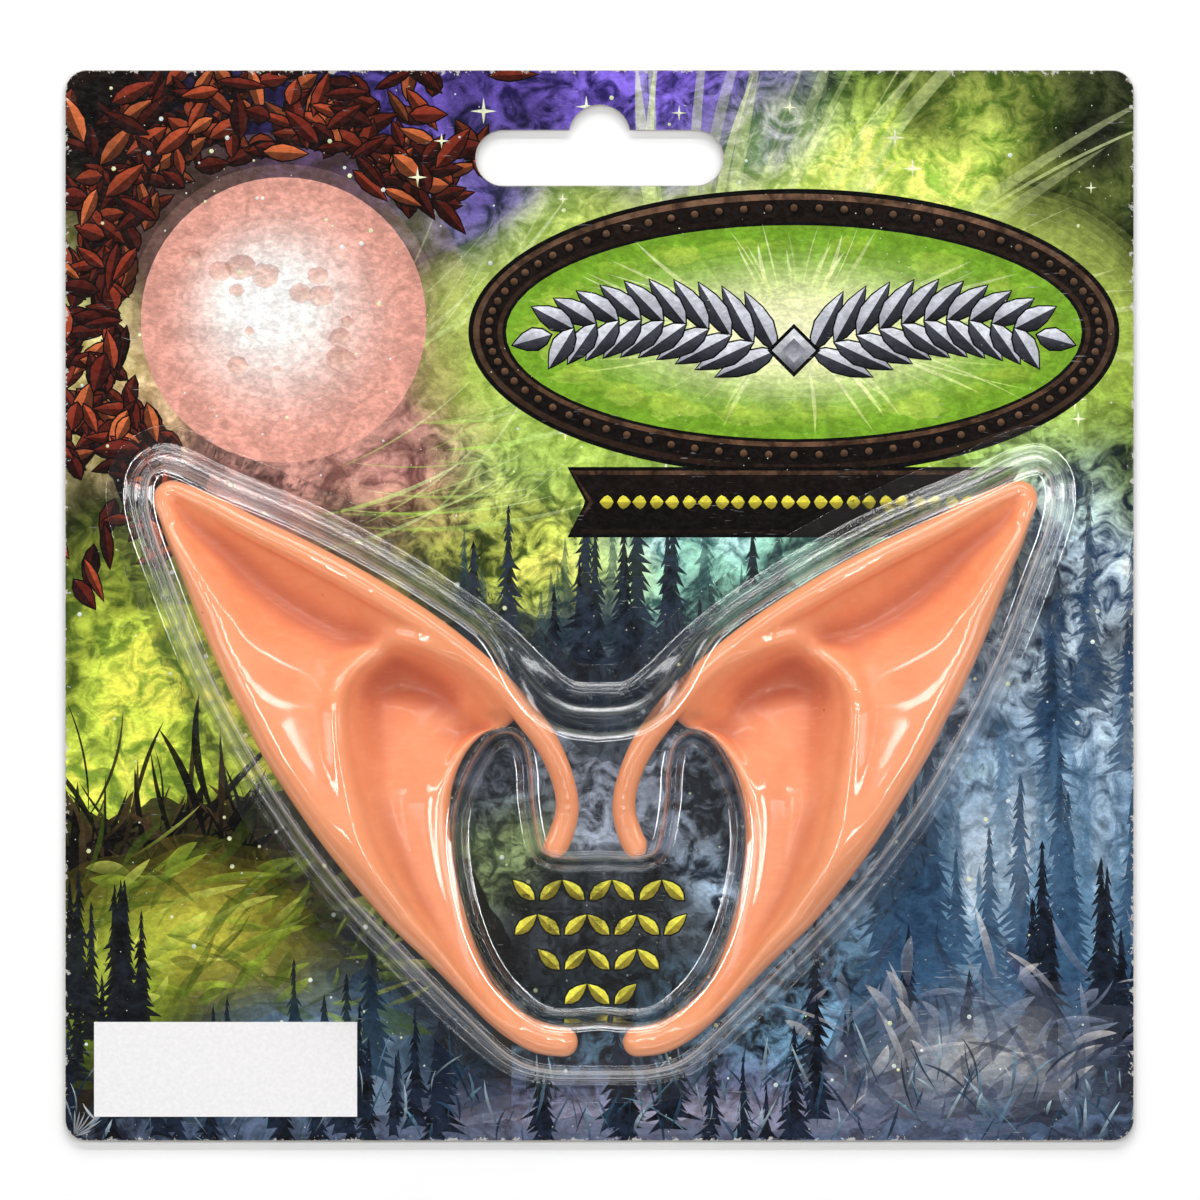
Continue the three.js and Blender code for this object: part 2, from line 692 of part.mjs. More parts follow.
// Blister: one sheet of even thickness, with its flange on the card, a hollow over both ears and
// a recess between them that comes down to the card
function blister() {
  const halfWidth = blisterWidth / 2;
  const footDraft = (place) => column(footLine, 'draft', place) * halfWidth;
  const foot = mirroredLine(footLine, halfWidth, blisterHeight, footDraft);
  const recess = mirroredLine(recessLine, earReach, earRise, () => recessDraft);
  const points = [];
  const triangles = [];
  const ring = (line, shift, height, lift) => {
    const start = points.length;
    for (const point of line) {
      const move = shift(point);
      points.push(new THREE.Vector3(point.x + move * point.outX, point.y + move * point.outY + lift, height));
    }
    return start;
  };
  const low = cardThickness;
  const top = low + blisterDepth;
  const shoulder = top - shoulderRound;
  const atShoulder = (point) => draftAtShoulder * point.draft;
  const atTop = (point) => point.draft + topSetIn * shoulderRound;
  const outerRing = (shift, height) => ring(foot, shift, height, -blisterDrop);
  const recessRing = (shift, height) => ring(recess, shift, height, -lobeDrop);
  const chain = [
    outerRing((point) => -atTop(point) - plastic, top - plastic),
    outerRing((point) => -atShoulder(point) - plastic, shoulder - plastic),
    outerRing(() => -plastic, low),
    outerRing(() => flangeWidth, low),
    outerRing(() => flangeWidth, low + plastic),
    outerRing(() => 0, low + plastic),
    outerRing((point) => -atShoulder(point), shoulder),
    outerRing((point) => -atTop(point), top),
  ];
  const recessTop = [
    recessRing(atTop, top),
    recessRing(atShoulder, shoulder),
    recessRing(() => 0, low + plastic),
  ];
  const recessUnder = [
    recessRing((point) => atTop(point) + plastic, top - plastic),
    recessRing((point) => atShoulder(point) + plastic, shoulder - plastic),
    recessRing(() => plastic, low),
  ];
  for (let i = 0; i < chain.length - 1; i += 1) {
    triangles.push(...band(points, chain[i], chain[i + 1], foot.length));
  }
  for (const side of [recessTop, [...recessUnder].reverse()]) {
    for (let i = 0; i < side.length - 1; i += 1) {
      triangles.push(...band(points, side[i], side[i + 1], recess.length));
    }
  }
  const flatPoints = (start, count) =>
    points.slice(start, start + count).map((p) => new THREE.Vector2(p.x, p.y));
  const flatFace = (outerStart, outerCount, holeStart, holeCount, upwards) => {
    const corners = flatPoints(outerStart, outerCount);
    const holes = holeCount > 0 ? [flatPoints(holeStart, holeCount)] : [];
    const all = [...corners, ...holes.flat()];
    const number = (corner) => (corner < outerCount ? outerStart + corner : holeStart + corner - outerCount);
    for (const face of THREE.ShapeUtils.triangulateShape(corners, holes)) {
      const [a, b, c] = face.map((corner) => all[corner]);
      const area = (b.x - a.x) * (c.y - a.y) - (c.x - a.x) * (b.y - a.y);
      const turned = area > 0 === upwards ? face : [face[0], face[2], face[1]];
      triangles.push(turned.map(number));
    }
  };
  flatFace(chain[chain.length - 1], foot.length, recessTop[0], recess.length, true);
  flatFace(chain[0], foot.length, recessUnder[0], recess.length, false);
  flatFace(recessTop[2], recess.length, 0, 0, true);
  flatFace(recessUnder[2], recess.length, 0, 0, false);
  const mesh = new THREE.Mesh(bodyFrom(points, triangles), clearPlastic);
  mesh.name = 'blister';
  return mesh;
}

const group = new THREE.Group();
group.add(backingCard());
group.add(blankLabel());
group.add(placedEar('ear_left', -1, leftHookFromMiddle, 0));
group.add(placedEar('ear_right', 1, rightHookFromMiddle, rightLobeSwing));
group.add(blister());

export default group;
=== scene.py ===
"""Pair of latex ear tips under a clear blister on a printed card.

The card lies on its back: +Z points out of the print, +Y towards the hang slot. Shapes are worked
out in millimetres and made in metres.
"""
import math
import random

import bmesh
import bpy
import numpy as np
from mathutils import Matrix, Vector
from mathutils.geometry import delaunay_2d_cdt


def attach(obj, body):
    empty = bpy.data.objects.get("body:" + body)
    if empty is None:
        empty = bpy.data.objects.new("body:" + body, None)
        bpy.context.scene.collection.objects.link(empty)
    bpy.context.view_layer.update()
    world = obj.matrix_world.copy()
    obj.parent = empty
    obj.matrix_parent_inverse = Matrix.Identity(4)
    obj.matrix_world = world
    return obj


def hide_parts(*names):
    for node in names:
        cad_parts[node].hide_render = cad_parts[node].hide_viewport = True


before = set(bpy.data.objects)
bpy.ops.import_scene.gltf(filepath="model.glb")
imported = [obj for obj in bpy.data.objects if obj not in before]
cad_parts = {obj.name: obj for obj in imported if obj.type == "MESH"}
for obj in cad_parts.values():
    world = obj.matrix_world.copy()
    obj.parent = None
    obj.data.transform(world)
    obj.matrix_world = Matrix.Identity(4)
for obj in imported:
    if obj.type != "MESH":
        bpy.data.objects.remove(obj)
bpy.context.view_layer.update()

MM = 0.001
MERGE_REACH = 1e-5

# Card and hang slot
CARD_WIDTH = 176.0
CARD_HEIGHT = 176.3
CARD_THICKNESS = 0.5
CARD_CORNER = 3.6
CARD_EDGE_ROUND = 0.12
SLOT_LENGTH = 40.7
SLOT_WIDTH = 9.05
SLOT_FROM_TOP = 14.5
NOTCH_RADIUS = 5.0
NOTCH_RISE = 3.7

# Label
LABEL_WIDTH = 43.3
LABEL_HEIGHT = 15.6
LABEL_FROM_LEFT = 4.8
LABEL_FROM_BOTTOM = 4.0

# Ear
EAR_REACH = 70.3
EAR_RISE = 94.75
EAR_DEPTH = 17.0
LATEX_WALL = 1.3
REST_CLEARANCE = 0.3
LEFT_HOOK_FROM_MIDDLE = 3.3
RIGHT_HOOK_FROM_MIDDLE = 2.0
LOBE_DROP = 74.2
RIGHT_LOBE_SWING = 1.6
SWING_STARTS = 0.56
SWING_FULL = 0.22
OUTER_ROLL = 3.6
WIDEST_ROLL_AT_RIM = 0.13
WIDEST_ROLL = 0.34
OUTER_ROLL_DROP = 4.2
INNER_ROLL = 2.4
INNER_ROLL_DROP = 2.6
SIDE_LEAN = 0.9
RIDGE_HEIGHT = 2.3
RIDGE_HALF_WIDTH = 2.6
BOWL_DEPTH = 6.3
BOWL_WALL = 7.4
BOWL_RUN = 26.0
BOWL_LEFT_OVER = 0.42
BOWL_MARGIN = 3.5
BOWL_FULL_AT = 0.68
BOWL_GONE_AT = 0.43
RIM_RADIUS = 2.2
LOBE_RADIUS = 2.6
ROD_SPREAD = 1.03
INNER_ROLL_AT_RIM = 0.4
INNER_DROP_AT_RIM = 0.3
UNDER_LIFT = 0.4
LONGEST_DROP = 2.4
VOXEL = 0.42
SOFTEN_ROUNDS = 10

# Rounds of averaging and weights that tell how hollow a place is
HOLLOW_SCALES = ((150, 0.16), (450, 0.13))

# Blister
ROOM_BESIDE_TIPS = 3.9
ROOM_ABOVE_TIPS = 5.35
ROOM_BELOW_LOBES = 3.9
BLISTER_DEPTH = 20.0
BLISTER_WIDTH = 2 * (EAR_REACH + LEFT_HOOK_FROM_MIDDLE + ROOM_BESIDE_TIPS)
BLISTER_HEIGHT = ROOM_BELOW_LOBES + EAR_RISE + ROOM_ABOVE_TIPS
BLISTER_DROP = LOBE_DROP + ROOM_BELOW_LOBES
FLANGE_WIDTH = 3.8
PLASTIC = 0.4
SHOULDER_ROUND = 1.9
LEDGE_ROUND = 0.8
LEDGE_FLAT = math.radians(15)
LEDGE_STEEP = math.radians(80)
FOOT_ROUND = 0.9
RECESS_DRAFT = 1.2
FLAT_EDGE = 0.12
WALL_DRAFT = 0.9
LEDGE_AT = 0.52
TOP_GRID = 3.0
WELD_REACH = 0.02

# Sections of the ear from tip to lobe. Ends are shares of the reach and rise, heights are shares of
# the depth and floor_at is a share of the section's own width.
SECTION_COLUMNS = ("out_x", "out_y", "in_x", "in_y", "crest", "floor_at", "floor", "inner", "base")
SECTIONS = (
    (0.008, 0.957, 0.060, 0.981, 0.37, 0.54, 0.33, 0.38, 0.10),
    (0.032, 0.900, 0.139, 0.956, 0.53, 0.52, 0.37, 0.48, 0.03),
    (0.064, 0.843, 0.275, 0.903, 0.66, 0.52, 0.38, 0.60, 0),
    (0.095, 0.784, 0.416, 0.850, 0.74, 0.50, 0.39, 0.71, 0),
    (0.123, 0.733, 0.580, 0.779, 0.80, 0.54, 0.44, 0.79, 0),
    (0.146, 0.693, 0.708, 0.712, 0.85, 0.66, 0.53, 0.82, 0),
    (0.170, 0.655, 0.807, 0.650, 0.89, 0.71, 0.60, 0.81, 0),
    (0.193, 0.619, 0.861, 0.608, 0.92, 0.68, 0.65, 0.79, 0),
    (0.217, 0.586, 0.833, 0.574, 0.94, 0.66, 0.66, 0.62, 0),
    (0.256, 0.528, 0.776, 0.560, 0.97, 0.64, 0.66, 0.58, 0),
    (0.310, 0.464, 0.727, 0.516, 0.99, 0.62, 0.66, 0.57, 0),
    (0.381, 0.387, 0.699, 0.445, 1.00, 0.60, 0.66, 0.58, 0),
    (0.463, 0.309, 0.704, 0.349, 0.97, 0.60, 0.65, 0.59, 0),
    (0.556, 0.229, 0.732, 0.254, 0.90, 0.60, 0.62, 0.58, 0),
    (0.650, 0.162, 0.762, 0.184, 0.80, 0.58, 0.59, 0.56, 0),
    (0.732, 0.100, 0.797, 0.129, 0.68, 0.55, 0.51, 0.53, 0.03),
    (0.795, 0.053, 0.837, 0.096, 0.57, 0.55, 0.49, 0.50, 0.11),
    (0.865, 0.017, 0.872, 0.076, 0.48, 0.50, 0.46, 0.46, 0.20),
)
SECTION_AT_HOOK = 7

# Middle line of the rim roll and free hook, and of the lobe's rod
ROD_COLUMNS = ("x", "y", "z", "thick")
RIM_LINE = (
    (0.074, 0.869, 0.44, 0.62),
    (0.046, 0.926, 0.38, 0.70),
    (0.027, 0.964, 0.33, 0.74),
    (0.036, 0.981, 0.31, 0.74),
    (0.064, 0.980, 0.32, 0.76),
    (0.139, 0.956, 0.42, 0.83),
    (0.228, 0.920, 0.53, 0.92),
    (0.369, 0.868, 0.66, 1.00),
    (0.509, 0.811, 0.73, 1.02),
    (0.650, 0.745, 0.76, 1.00),
    (0.767, 0.678, 0.76, 0.94),
    (0.847, 0.620, 0.74, 0.94),
    (0.882, 0.589, 0.73, 0.97),
    (0.919, 0.551, 0.70, 0.93),
    (0.948, 0.509, 0.66, 0.87),
    (0.968, 0.462, 0.60, 0.86),
    (0.971, 0.424, 0.55, 0.88),
    (0.957, 0.386, 0.51, 0.93),
    (0.945, 0.367, 0.49, 0.93),
)
LOBE_LINE = (
    (0.762, 0.118, 0.40, 0.88),
    (0.814, 0.077, 0.37, 0.95),
    (0.861, 0.050, 0.34, 0.96),
    (0.910, 0.033, 0.32, 1.00),
    (0.962, 0.026, 0.31, 0.95),
)

# Crest of the ridge inside the ear
RIDGE_COLUMNS = ("x", "y", "strength")
RIDGE_LINE = (
    (0.861, 0.598, 0),
    (0.790, 0.639, 0),
    (0.725, 0.681, 0.3),
    (0.660, 0.705, 0.7),
    (0.580, 0.716, 1),
    (0.521, 0.702, 1),
    (0.474, 0.679, 1),
    (0.443, 0.645, 1),
    (0.434, 0.601, 1),
    (0.443, 0.532, 1),
    (0.467, 0.462, 0.9),
    (0.505, 0.375, 0.7),
    (0.551, 0.306, 0.4),
    (0.591, 0.254, 0),
)

# Left halves of the blister's foot and of its recess, with the wall's draft in shares of half the
# blister's width
FOOT_COLUMNS = ("x", "y", "draft")
FOOT_LINE = (
    (0, 0.621, 0.1032),
    (0.060, 0.625, 0.0955),
    (0.117, 0.658, 0.0826),
    (0.212, 0.725, 0.0413),
    (0.340, 0.793, 0.0387),
    (0.488, 0.858, 0.0387),
    (0.637, 0.913, 0.0387),
    (0.786, 0.959, 0.0387),
    (0.880, 0.992, 0.0387),
    (0.938, 0.998, 0.0387),
    (0.985, 0.972, 0.0387),
    (1.000, 0.925, 0.0387),
    (0.985, 0.866, 0.0361),
    (0.943, 0.779, 0.0361),
    (0.885, 0.669, 0.0348),
    (0.803, 0.543, 0.0348),
    (0.699, 0.413, 0.0335),
    (0.571, 0.285, 0.0335),
    (0.422, 0.168, 0.0335),
    (0.295, 0.076, 0.0297),
    (0.200, 0.020, 0.0232),
    (0.115, 0.002, 0.0168),
    (0, 0, 0.0155),
)
RECESS_COLUMNS = ("x", "y")
RECESS_LINE = (
    (0, 0.331),
    (0.075, 0.329),
    (0.120, 0.334),
    (0.152, 0.350),
    (0.168, 0.386),
    (0.180, 0.445),
    (0.184, 0.497),
    (0.196, 0.535),
    (0.220, 0.546),
    (0.249, 0.534),
    (0.277, 0.502),
    (0.301, 0.460),
    (0.316, 0.412),
    (0.316, 0.350),
    (0.297, 0.271),
    (0.269, 0.205),
    (0.231, 0.151),
    (0.185, 0.111),
    (0.134, 0.082),
    (0.080, 0.074),
    (0, 0.078),
)

# Camera: far away, so that the tall ears hardly spread. The frame is as wide as the view at the card.
VIEW_WIDTH = 197.56
VIEW_MIDDLE = (0.08, 0.905)
CAMERA_DISTANCE = 3500.0
CAMERA_SIGHT = 20.0
SENSOR = 36.0

# Lights: name, level width and other side in metres, place, power, and whether only gloss shows it
LIGHTS = (
    ("top box", 1.4, 0.5, (0, 1.85, 1.05), 14, False),
    ("top strip", 2.2, 0.1, (0, 1.2, 1.15), 11.0, False),
    ("left box", 0.3, 1.6, (-1.4, 0.1, 1.1), 7, False),
    ("right box", 0.3, 1.6, (1.4, 0.1, 1.1), 7, False),
    ("bottom box", 1.2, 0.15, (0, -1.3, 1.1), 2, False),
    ("left line", 0.5, 0.14, (-0.42, 0.1, 1.5), 3.5, False),
    ("right line", 0.5, 0.14, (0.42, 0.1, 1.5), 3.5, False),
    ("left edge light", 1.4, 0.06, (-1.1, -0.75, 1.1), 1.6, True),
    ("right edge light", 1.4, 0.06, (1.1, -0.75, 1.1), 1.6, True),
    ("top line", 1.3, 0.09, (0, 0.5, 1.5), 4.6, True),
    ("bottom line", 1.3, 0.05, (0, -0.62, 1.4), 1.2, True),
)
WORLD_LIGHT = 0.15
FLOOR_HALF = 3000.0
FLOOR_DROP = 1.0


# Camera, light and floor

def make_camera():
    data = bpy.data.cameras.new("camera")
    data.sensor_width = SENSOR
    data.lens = SENSOR * CAMERA_DISTANCE / VIEW_WIDTH
    data.clip_end = CAMERA_SIGHT
    camera = bpy.data.objects.new("camera", data)
    camera.location = (VIEW_MIDDLE[0] * MM, VIEW_MIDDLE[1] * MM, CAMERA_DISTANCE * MM)
    bpy.context.scene.collection.objects.link(camera)
    bpy.context.scene.camera = camera


def soft_box(name, width, height, place, power, gloss_only):
    """Area light that faces the card's middle."""
    data = bpy.data.lights.new(name, "AREA")
    data.shape = "RECTANGLE"
    data.size = width
    data.size_y = height
    data.energy = power
    light = bpy.data.objects.new(name, data)
    light.location = place
    light.rotation_euler = Vector(place).to_track_quat("Z", "Y").to_euler()
    light.visible_camera = False
    light.visible_diffuse = not gloss_only
    bpy.context.scene.collection.objects.link(light)


def make_light():
    for light in LIGHTS:
        soft_box(*light)
    world = bpy.data.worlds.new("studio")
    world.use_nodes = True
    background = world.node_tree.nodes["Background"]
    background.inputs["Color"].default_value = (1, 1, 1, 1)
    background.inputs["Strength"].default_value = WORLD_LIGHT
    scene = bpy.context.scene
    scene.world = world
    scene.view_settings.view_transform = "Standard"
    scene.view_settings.look = "None"


# Small tools for numbers

def ease(value):
    """Eased step from 0 to 1."""
    x = np.clip(value, 0, 1)
    return x * x * (3 - 2 * x)


def mix(a, b, share):
    return a + (b - a) * share


def columns(names, rows):
    """The columns of a table by name."""
    return dict(zip(names, np.array(rows, float).T))


def smooth(values, place):
    """Smooth values of a column at places counted in rows."""
    ends = 2 * values[0] - values[1], 2 * values[-1] - values[-2]
    padded = np.concatenate(([ends[0]], values, [ends[1]]))
    row = np.clip(np.floor(place).astype(int), 0, len(values) - 2)
    f = place - row
    a, b, c, d = (padded[row + k] for k in range(4))
    return b + 0.5 * f * (c - a + f * (2 * a - 5 * b + 4 * c - d + f * (3 * (b - c) + d - a)))


def ink(code):
    """Linear colour from a written one."""
    parts = (int(code[i:i + 2], 16) / 255 for i in (0, 2, 4))
    return np.array([p / 12.92 if p <= 0.04045 else ((p + 0.055) / 1.055) ** 2.4 for p in parts])


def value_noise(x, y, seed):
    """Smooth noise from -1 to 1 on a unit lattice."""
    lattice = np.random.default_rng(seed).uniform(-1, 1, (64, 64))
    column, row = np.floor(x).astype(int), np.floor(y).astype(int)
    across, up = ease(x - column), ease(y - row)
    low = mix(lattice[row % 64, column % 64], lattice[row % 64, (column + 1) % 64], across)
    high = mix(lattice[(row + 1) % 64, column % 64], lattice[(row + 1) % 64, (column + 1) % 64], across)
    return mix(low, high, up)


def clouds(x, y, size, seed, octaves=4):
    """Layered noise whose largest shapes have that size."""
    total = np.zeros(np.shape(x))
    for octave in range(octaves):
        scale = 2 ** octave / size
        c, s = math.cos(0.6 + 0.9 * octave) * scale, math.sin(0.6 + 0.9 * octave) * scale
        total = total + value_noise(c * x - s * y, s * x + c * y, seed + octave) / 2 ** (octave + 1)
    return total


# Small tools for meshes

def mesh_object(name, points, faces):
    """Object from points in millimetres."""
    mesh = bpy.data.meshes.new(name)
    mesh.from_pydata([tuple(point) for point in np.asarray(points) * MM], [], faces)
    mesh.update()
    made = bpy.data.objects.new(name, mesh)
    bpy.context.scene.collection.objects.link(made)
    return made


def bake_modifiers(piece):
    """Puts the result of a piece's modifiers into its mesh."""
    graph = bpy.context.evaluated_depsgraph_get()
    mesh = bpy.data.meshes.new_from_object(piece.evaluated_get(graph))
    piece.modifiers.clear()
    piece.data = mesh


def finish_piece(piece, material, node):
    piece.data.materials.clear()
    piece.data.materials.append(material)
    piece.data.shade_smooth()
    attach(piece, "root")
    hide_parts(node)


def band(first, second, count):
    """Quads between two closed rings that start at those points."""
    return [
        (first + i, first + (i + 1) % count, second + (i + 1) % count, second + i)
        for i in range(count)
    ]


def flat_sheet(loops, spots=()):
    """Triangles over overlapping closed loops and single spots, and the loops that cover each one."""
    points, faces = [], []
    for loop in loops:
        x, y = np.array(loop).T
        if np.sum(x * np.roll(y, -1) - y * np.roll(x, -1)) < 0:
            loop = loop[::-1]
        faces.append(list(range(len(points), len(points) + len(loop))))
        points.extend(Vector(point) for point in loop)
    points.extend(Vector(spot) for spot in spots)
    made = delaunay_2d_cdt(points, [], faces, 0, MERGE_REACH)
    corners = np.array([(point.x, point.y) for point in made[0]])
    kept = [(list(face), cover) for face, cover in zip(made[2], made[5]) if cover]
    return corners, [face for face, cover in kept], [cover for face, cover in kept]


# Ears

def section_set(steps):
    """All sections of the ear at that many steps between two rows of the table."""
    table = columns(SECTION_COLUMNS, SECTIONS)
    place = np.linspace(0, len(SECTIONS) - 1, (len(SECTIONS) - 1) * steps + 1)
    s = {name: smooth(values, place)[:, None] for name, values in table.items()}
    for name, size in (("out_x", EAR_REACH), ("in_x", EAR_REACH), ("out_y", EAR_RISE), ("in_y", EAR_RISE)):
        s[name] = s[name] * size
    for name in ("crest", "floor", "inner", "base"):
        s[name] = s[name] * EAR_DEPTH
    s["base"] = np.maximum(0, s["base"])
    s["width"] = np.hypot(s["in_x"] - s["out_x"], s["in_y"] - s["out_y"])
    past_hook = ease(place - SECTION_AT_HOOK)[:, None]
    s["outer_roll"] = np.minimum(OUTER_ROLL, s["width"] * mix(WIDEST_ROLL_AT_RIM, WIDEST_ROLL, past_hook))
    s["inner_roll"] = np.minimum(mix(INNER_ROLL_AT_RIM, 1, past_hook) * INNER_ROLL, s["width"] * 0.3)
    s["outer_drop"] = np.minimum(OUTER_ROLL_DROP, s["crest"] * 0.5)
    s["inner_drop"] = mix(INNER_DROP_AT_RIM, 1, past_hook) * INNER_ROLL_DROP
    return s


def from_ridge(x, y):
    """Signed distance of plan points from the ridge's crest, positive in the bowl, and its strength."""
    table = columns(RIDGE_COLUMNS, RIDGE_LINE)
    place = np.linspace(0, len(RIDGE_LINE) - 1, (len(RIDGE_LINE) - 1) * 8 + 1)
    line_x = smooth(table["x"], place) * EAR_REACH
    line_y = smooth(table["y"], place) * EAR_RISE
    strength = np.maximum(0, smooth(table["strength"], place))
    best = np.full(np.shape(x), np.inf)
    signed = np.zeros(np.shape(x))
    strong = np.zeros(np.shape(x))
    for i in range(len(place) - 1):
        along_x, along_y = line_x[i + 1] - line_x[i], line_y[i + 1] - line_y[i]
        share = ((x - line_x[i]) * along_x + (y - line_y[i]) * along_y) / (along_x ** 2 + along_y ** 2)
        f = np.clip(share, 0, 1)
        distance = np.hypot(x - line_x[i] - f * along_x, y - line_y[i] - f * along_y)
        side = np.where(along_x * (y - line_y[i]) - along_y * (x - line_x[i]) > 0, 1, -1)
        near = distance < best
        signed = np.where(near, distance * side, signed)
        strong = np.where(near, mix(strength[i], strength[i + 1], f), strong)
        best = np.minimum(best, distance)
    return signed, strong


def roll_drop(over):
    return 1 - np.sqrt(np.maximum(0, 1 - np.clip(over, 0, 1) ** 2))


def front_height(s, share):
    """Height of the ear's front at shares of each section's width."""
    outer_end = s["outer_roll"] / s["width"]
    inner_end = 1 - s["inner_roll"] / s["width"]
    down = ease((share - outer_end) / (s["floor_at"] - outer_end))
    up = ease((share - s["floor_at"]) / (inner_end - s["floor_at"]))
    height = mix(mix(s["crest"], s["floor"], down), s["inner"], up)
    x = mix(s["out_x"], s["in_x"], share)
    y = mix(s["out_y"], s["in_y"], share)
    signed, strength = from_ridge(x, y)
    height = height + RIDGE_HEIGHT * strength * np.exp(-(signed / RIDGE_HALF_WIDTH) ** 2)
    margin = np.minimum(share, 1 - share) * s["width"]
    fade = ease((y / EAR_RISE - BOWL_GONE_AT) / (BOWL_FULL_AT - BOWL_GONE_AT))
    scoop = ease(signed / BOWL_WALL) * mix(1, BOWL_LEFT_OVER, ease((signed - BOWL_WALL) / BOWL_RUN))
    height = height - BOWL_DEPTH * fade * scoop * ease(margin / BOWL_MARGIN)
    height = height - s["outer_drop"] * roll_drop(1 - share / outer_end)
    return height - s["inner_drop"] * roll_drop((share - inner_end) / (1 - inner_end))


def ear_skin(steps=10, roll_facets=8, front_facets=84):
    """Points and faces of the latex skin, a closed channel that is open towards the card."""
    s = section_set(steps)
    outer_end = s["outer_roll"] / s["width"]
    inner_end = 1 - s["inner_roll"] / s["width"]
    turn = 1 - np.cos(np.pi / 2 * np.arange(roll_facets) / roll_facets)
    flat = np.linspace(0, 1, front_facets + 1)
    share = np.hstack((outer_end * turn, mix(outer_end, inner_end, flat), 1 - (1 - inner_end) * turn[::-1]))
    wall = np.minimum(LATEX_WALL, (s["width"] - 2 * SIDE_LEAN) * 0.3)
    reach = 0.01
    under = mix(wall / s["width"], 1 - wall / s["width"], share[:, ::-1])
    before = front_height(s, np.maximum(0, under - reach))
    after = front_height(s, np.minimum(1, under + reach))
    slope = (after - before) / (2 * reach * s["width"])
    drop = np.minimum(LONGEST_DROP, np.hypot(1, slope)) * wall
    under_height = np.maximum(s["base"] + UNDER_LIFT, front_height(s, under) - drop)
    across = np.hstack((
        np.full_like(wall, SIDE_LEAN), share * s["width"], s["width"] - SIDE_LEAN,
        s["width"] - SIDE_LEAN - wall, under * s["width"], SIDE_LEAN + wall,
    ))
    height = np.hstack((s["base"], front_height(s, share), s["base"], s["base"], under_height, s["base"]))
    x = s["out_x"] + (s["in_x"] - s["out_x"]) / s["width"] * across
    y = s["out_y"] + (s["in_y"] - s["out_y"]) / s["width"] * across
    rings, count = x.shape
    faces = [face for i in range(rings - 1) for face in band(i * count, (i + 1) * count, count)]
    faces.append(tuple(range(count))[::-1])
    faces.append(tuple(range((rings - 1) * count, rings * count)))
    return np.stack((x, y, height), 2).reshape(-1, 3), faces


def rod(rows, radius, steps, sides=28):
    """Points and faces of a round rod with domed ends along a middle line."""
    table = columns(ROD_COLUMNS, rows)
    place = np.linspace(0, len(rows) - 1, steps)
    line = np.stack([smooth(table[name], place) for name in ("x", "y", "z")], 1)
    line = line * (EAR_REACH, EAR_RISE, EAR_DEPTH)
    size = smooth(table["thick"], place) * radius
    tangent = np.gradient(line, axis=0)
    tangent = tangent / np.linalg.norm(tangent, axis=1)[:, None]
    dome = np.linspace(0.08, 1, 7)[:-1] * np.pi / 2
    spots = [line[0] - tangent[0] * size[0] * math.cos(a) for a in dome] + list(line)
    spots += [line[-1] + tangent[-1] * size[-1] * math.cos(a) for a in dome[::-1]]
    sizes = [size[0] * math.sin(a) for a in dome] + list(size) + [size[-1] * math.sin(a) for a in dome[::-1]]
    ways = [tangent[0]] * len(dome) + list(tangent) + [tangent[-1]] * len(dome)
    points = []
    turns = np.arange(sides) * 2 * math.pi / sides
    for spot, width, way in zip(spots, sizes, ways):
        side = np.cross(way, (0, 0, 1.0))
        side = side / np.linalg.norm(side)
        up = np.cross(side, way)
        points.extend(spot + width * (math.cos(t) * side + math.sin(t) * up) for t in turns)
    rings = len(spots)
    faces = [face for i in range(rings - 1) for face in band(i * sides, (i + 1) * sides, sides)]
    faces.append(tuple(range(sides))[::-1])
    faces.append(tuple(range((rings - 1) * sides, rings * sides)))
    return np.array(points), faces


def swung(points, swing):
    """Points of the ear's lower part, moved outwards."""
    share = ease((SWING_STARTS - points[:, 1] / EAR_RISE) / (SWING_STARTS - SWING_FULL))
    return points - np.outer(swing * share, (1, 0, 0))


def cavity_of(mesh, rounds):
    """How far each point lies under its surroundings, along its normal."""
    count = len(mesh.vertices)
    place = np.zeros(count * 3)
    normal = np.zeros(count * 3)
    edge = np.zeros(len(mesh.edges) * 2, int)
    mesh.vertices.foreach_get("co", place)
    mesh.vertices.foreach_get("normal", normal)
    mesh.edges.foreach_get("vertices", edge)
    place, normal, edge = place.reshape(-1, 3), normal.reshape(-1, 3), edge.reshape(-1, 2)
    ends = np.concatenate((edge[:, 0], edge[:, 1]))
    others = np.concatenate((edge[:, 1], edge[:, 0]))
    neighbours = np.bincount(ends, minlength=count)
    mean = place.copy()
    for _ in range(rounds):
        total = np.stack([np.bincount(ends, mean[others, k], count) for k in range(3)], 1)
        mean = 0.3 * mean + 0.7 * total / neighbours[:, None]
    return np.sum((mean - place) * normal, 1) / MM


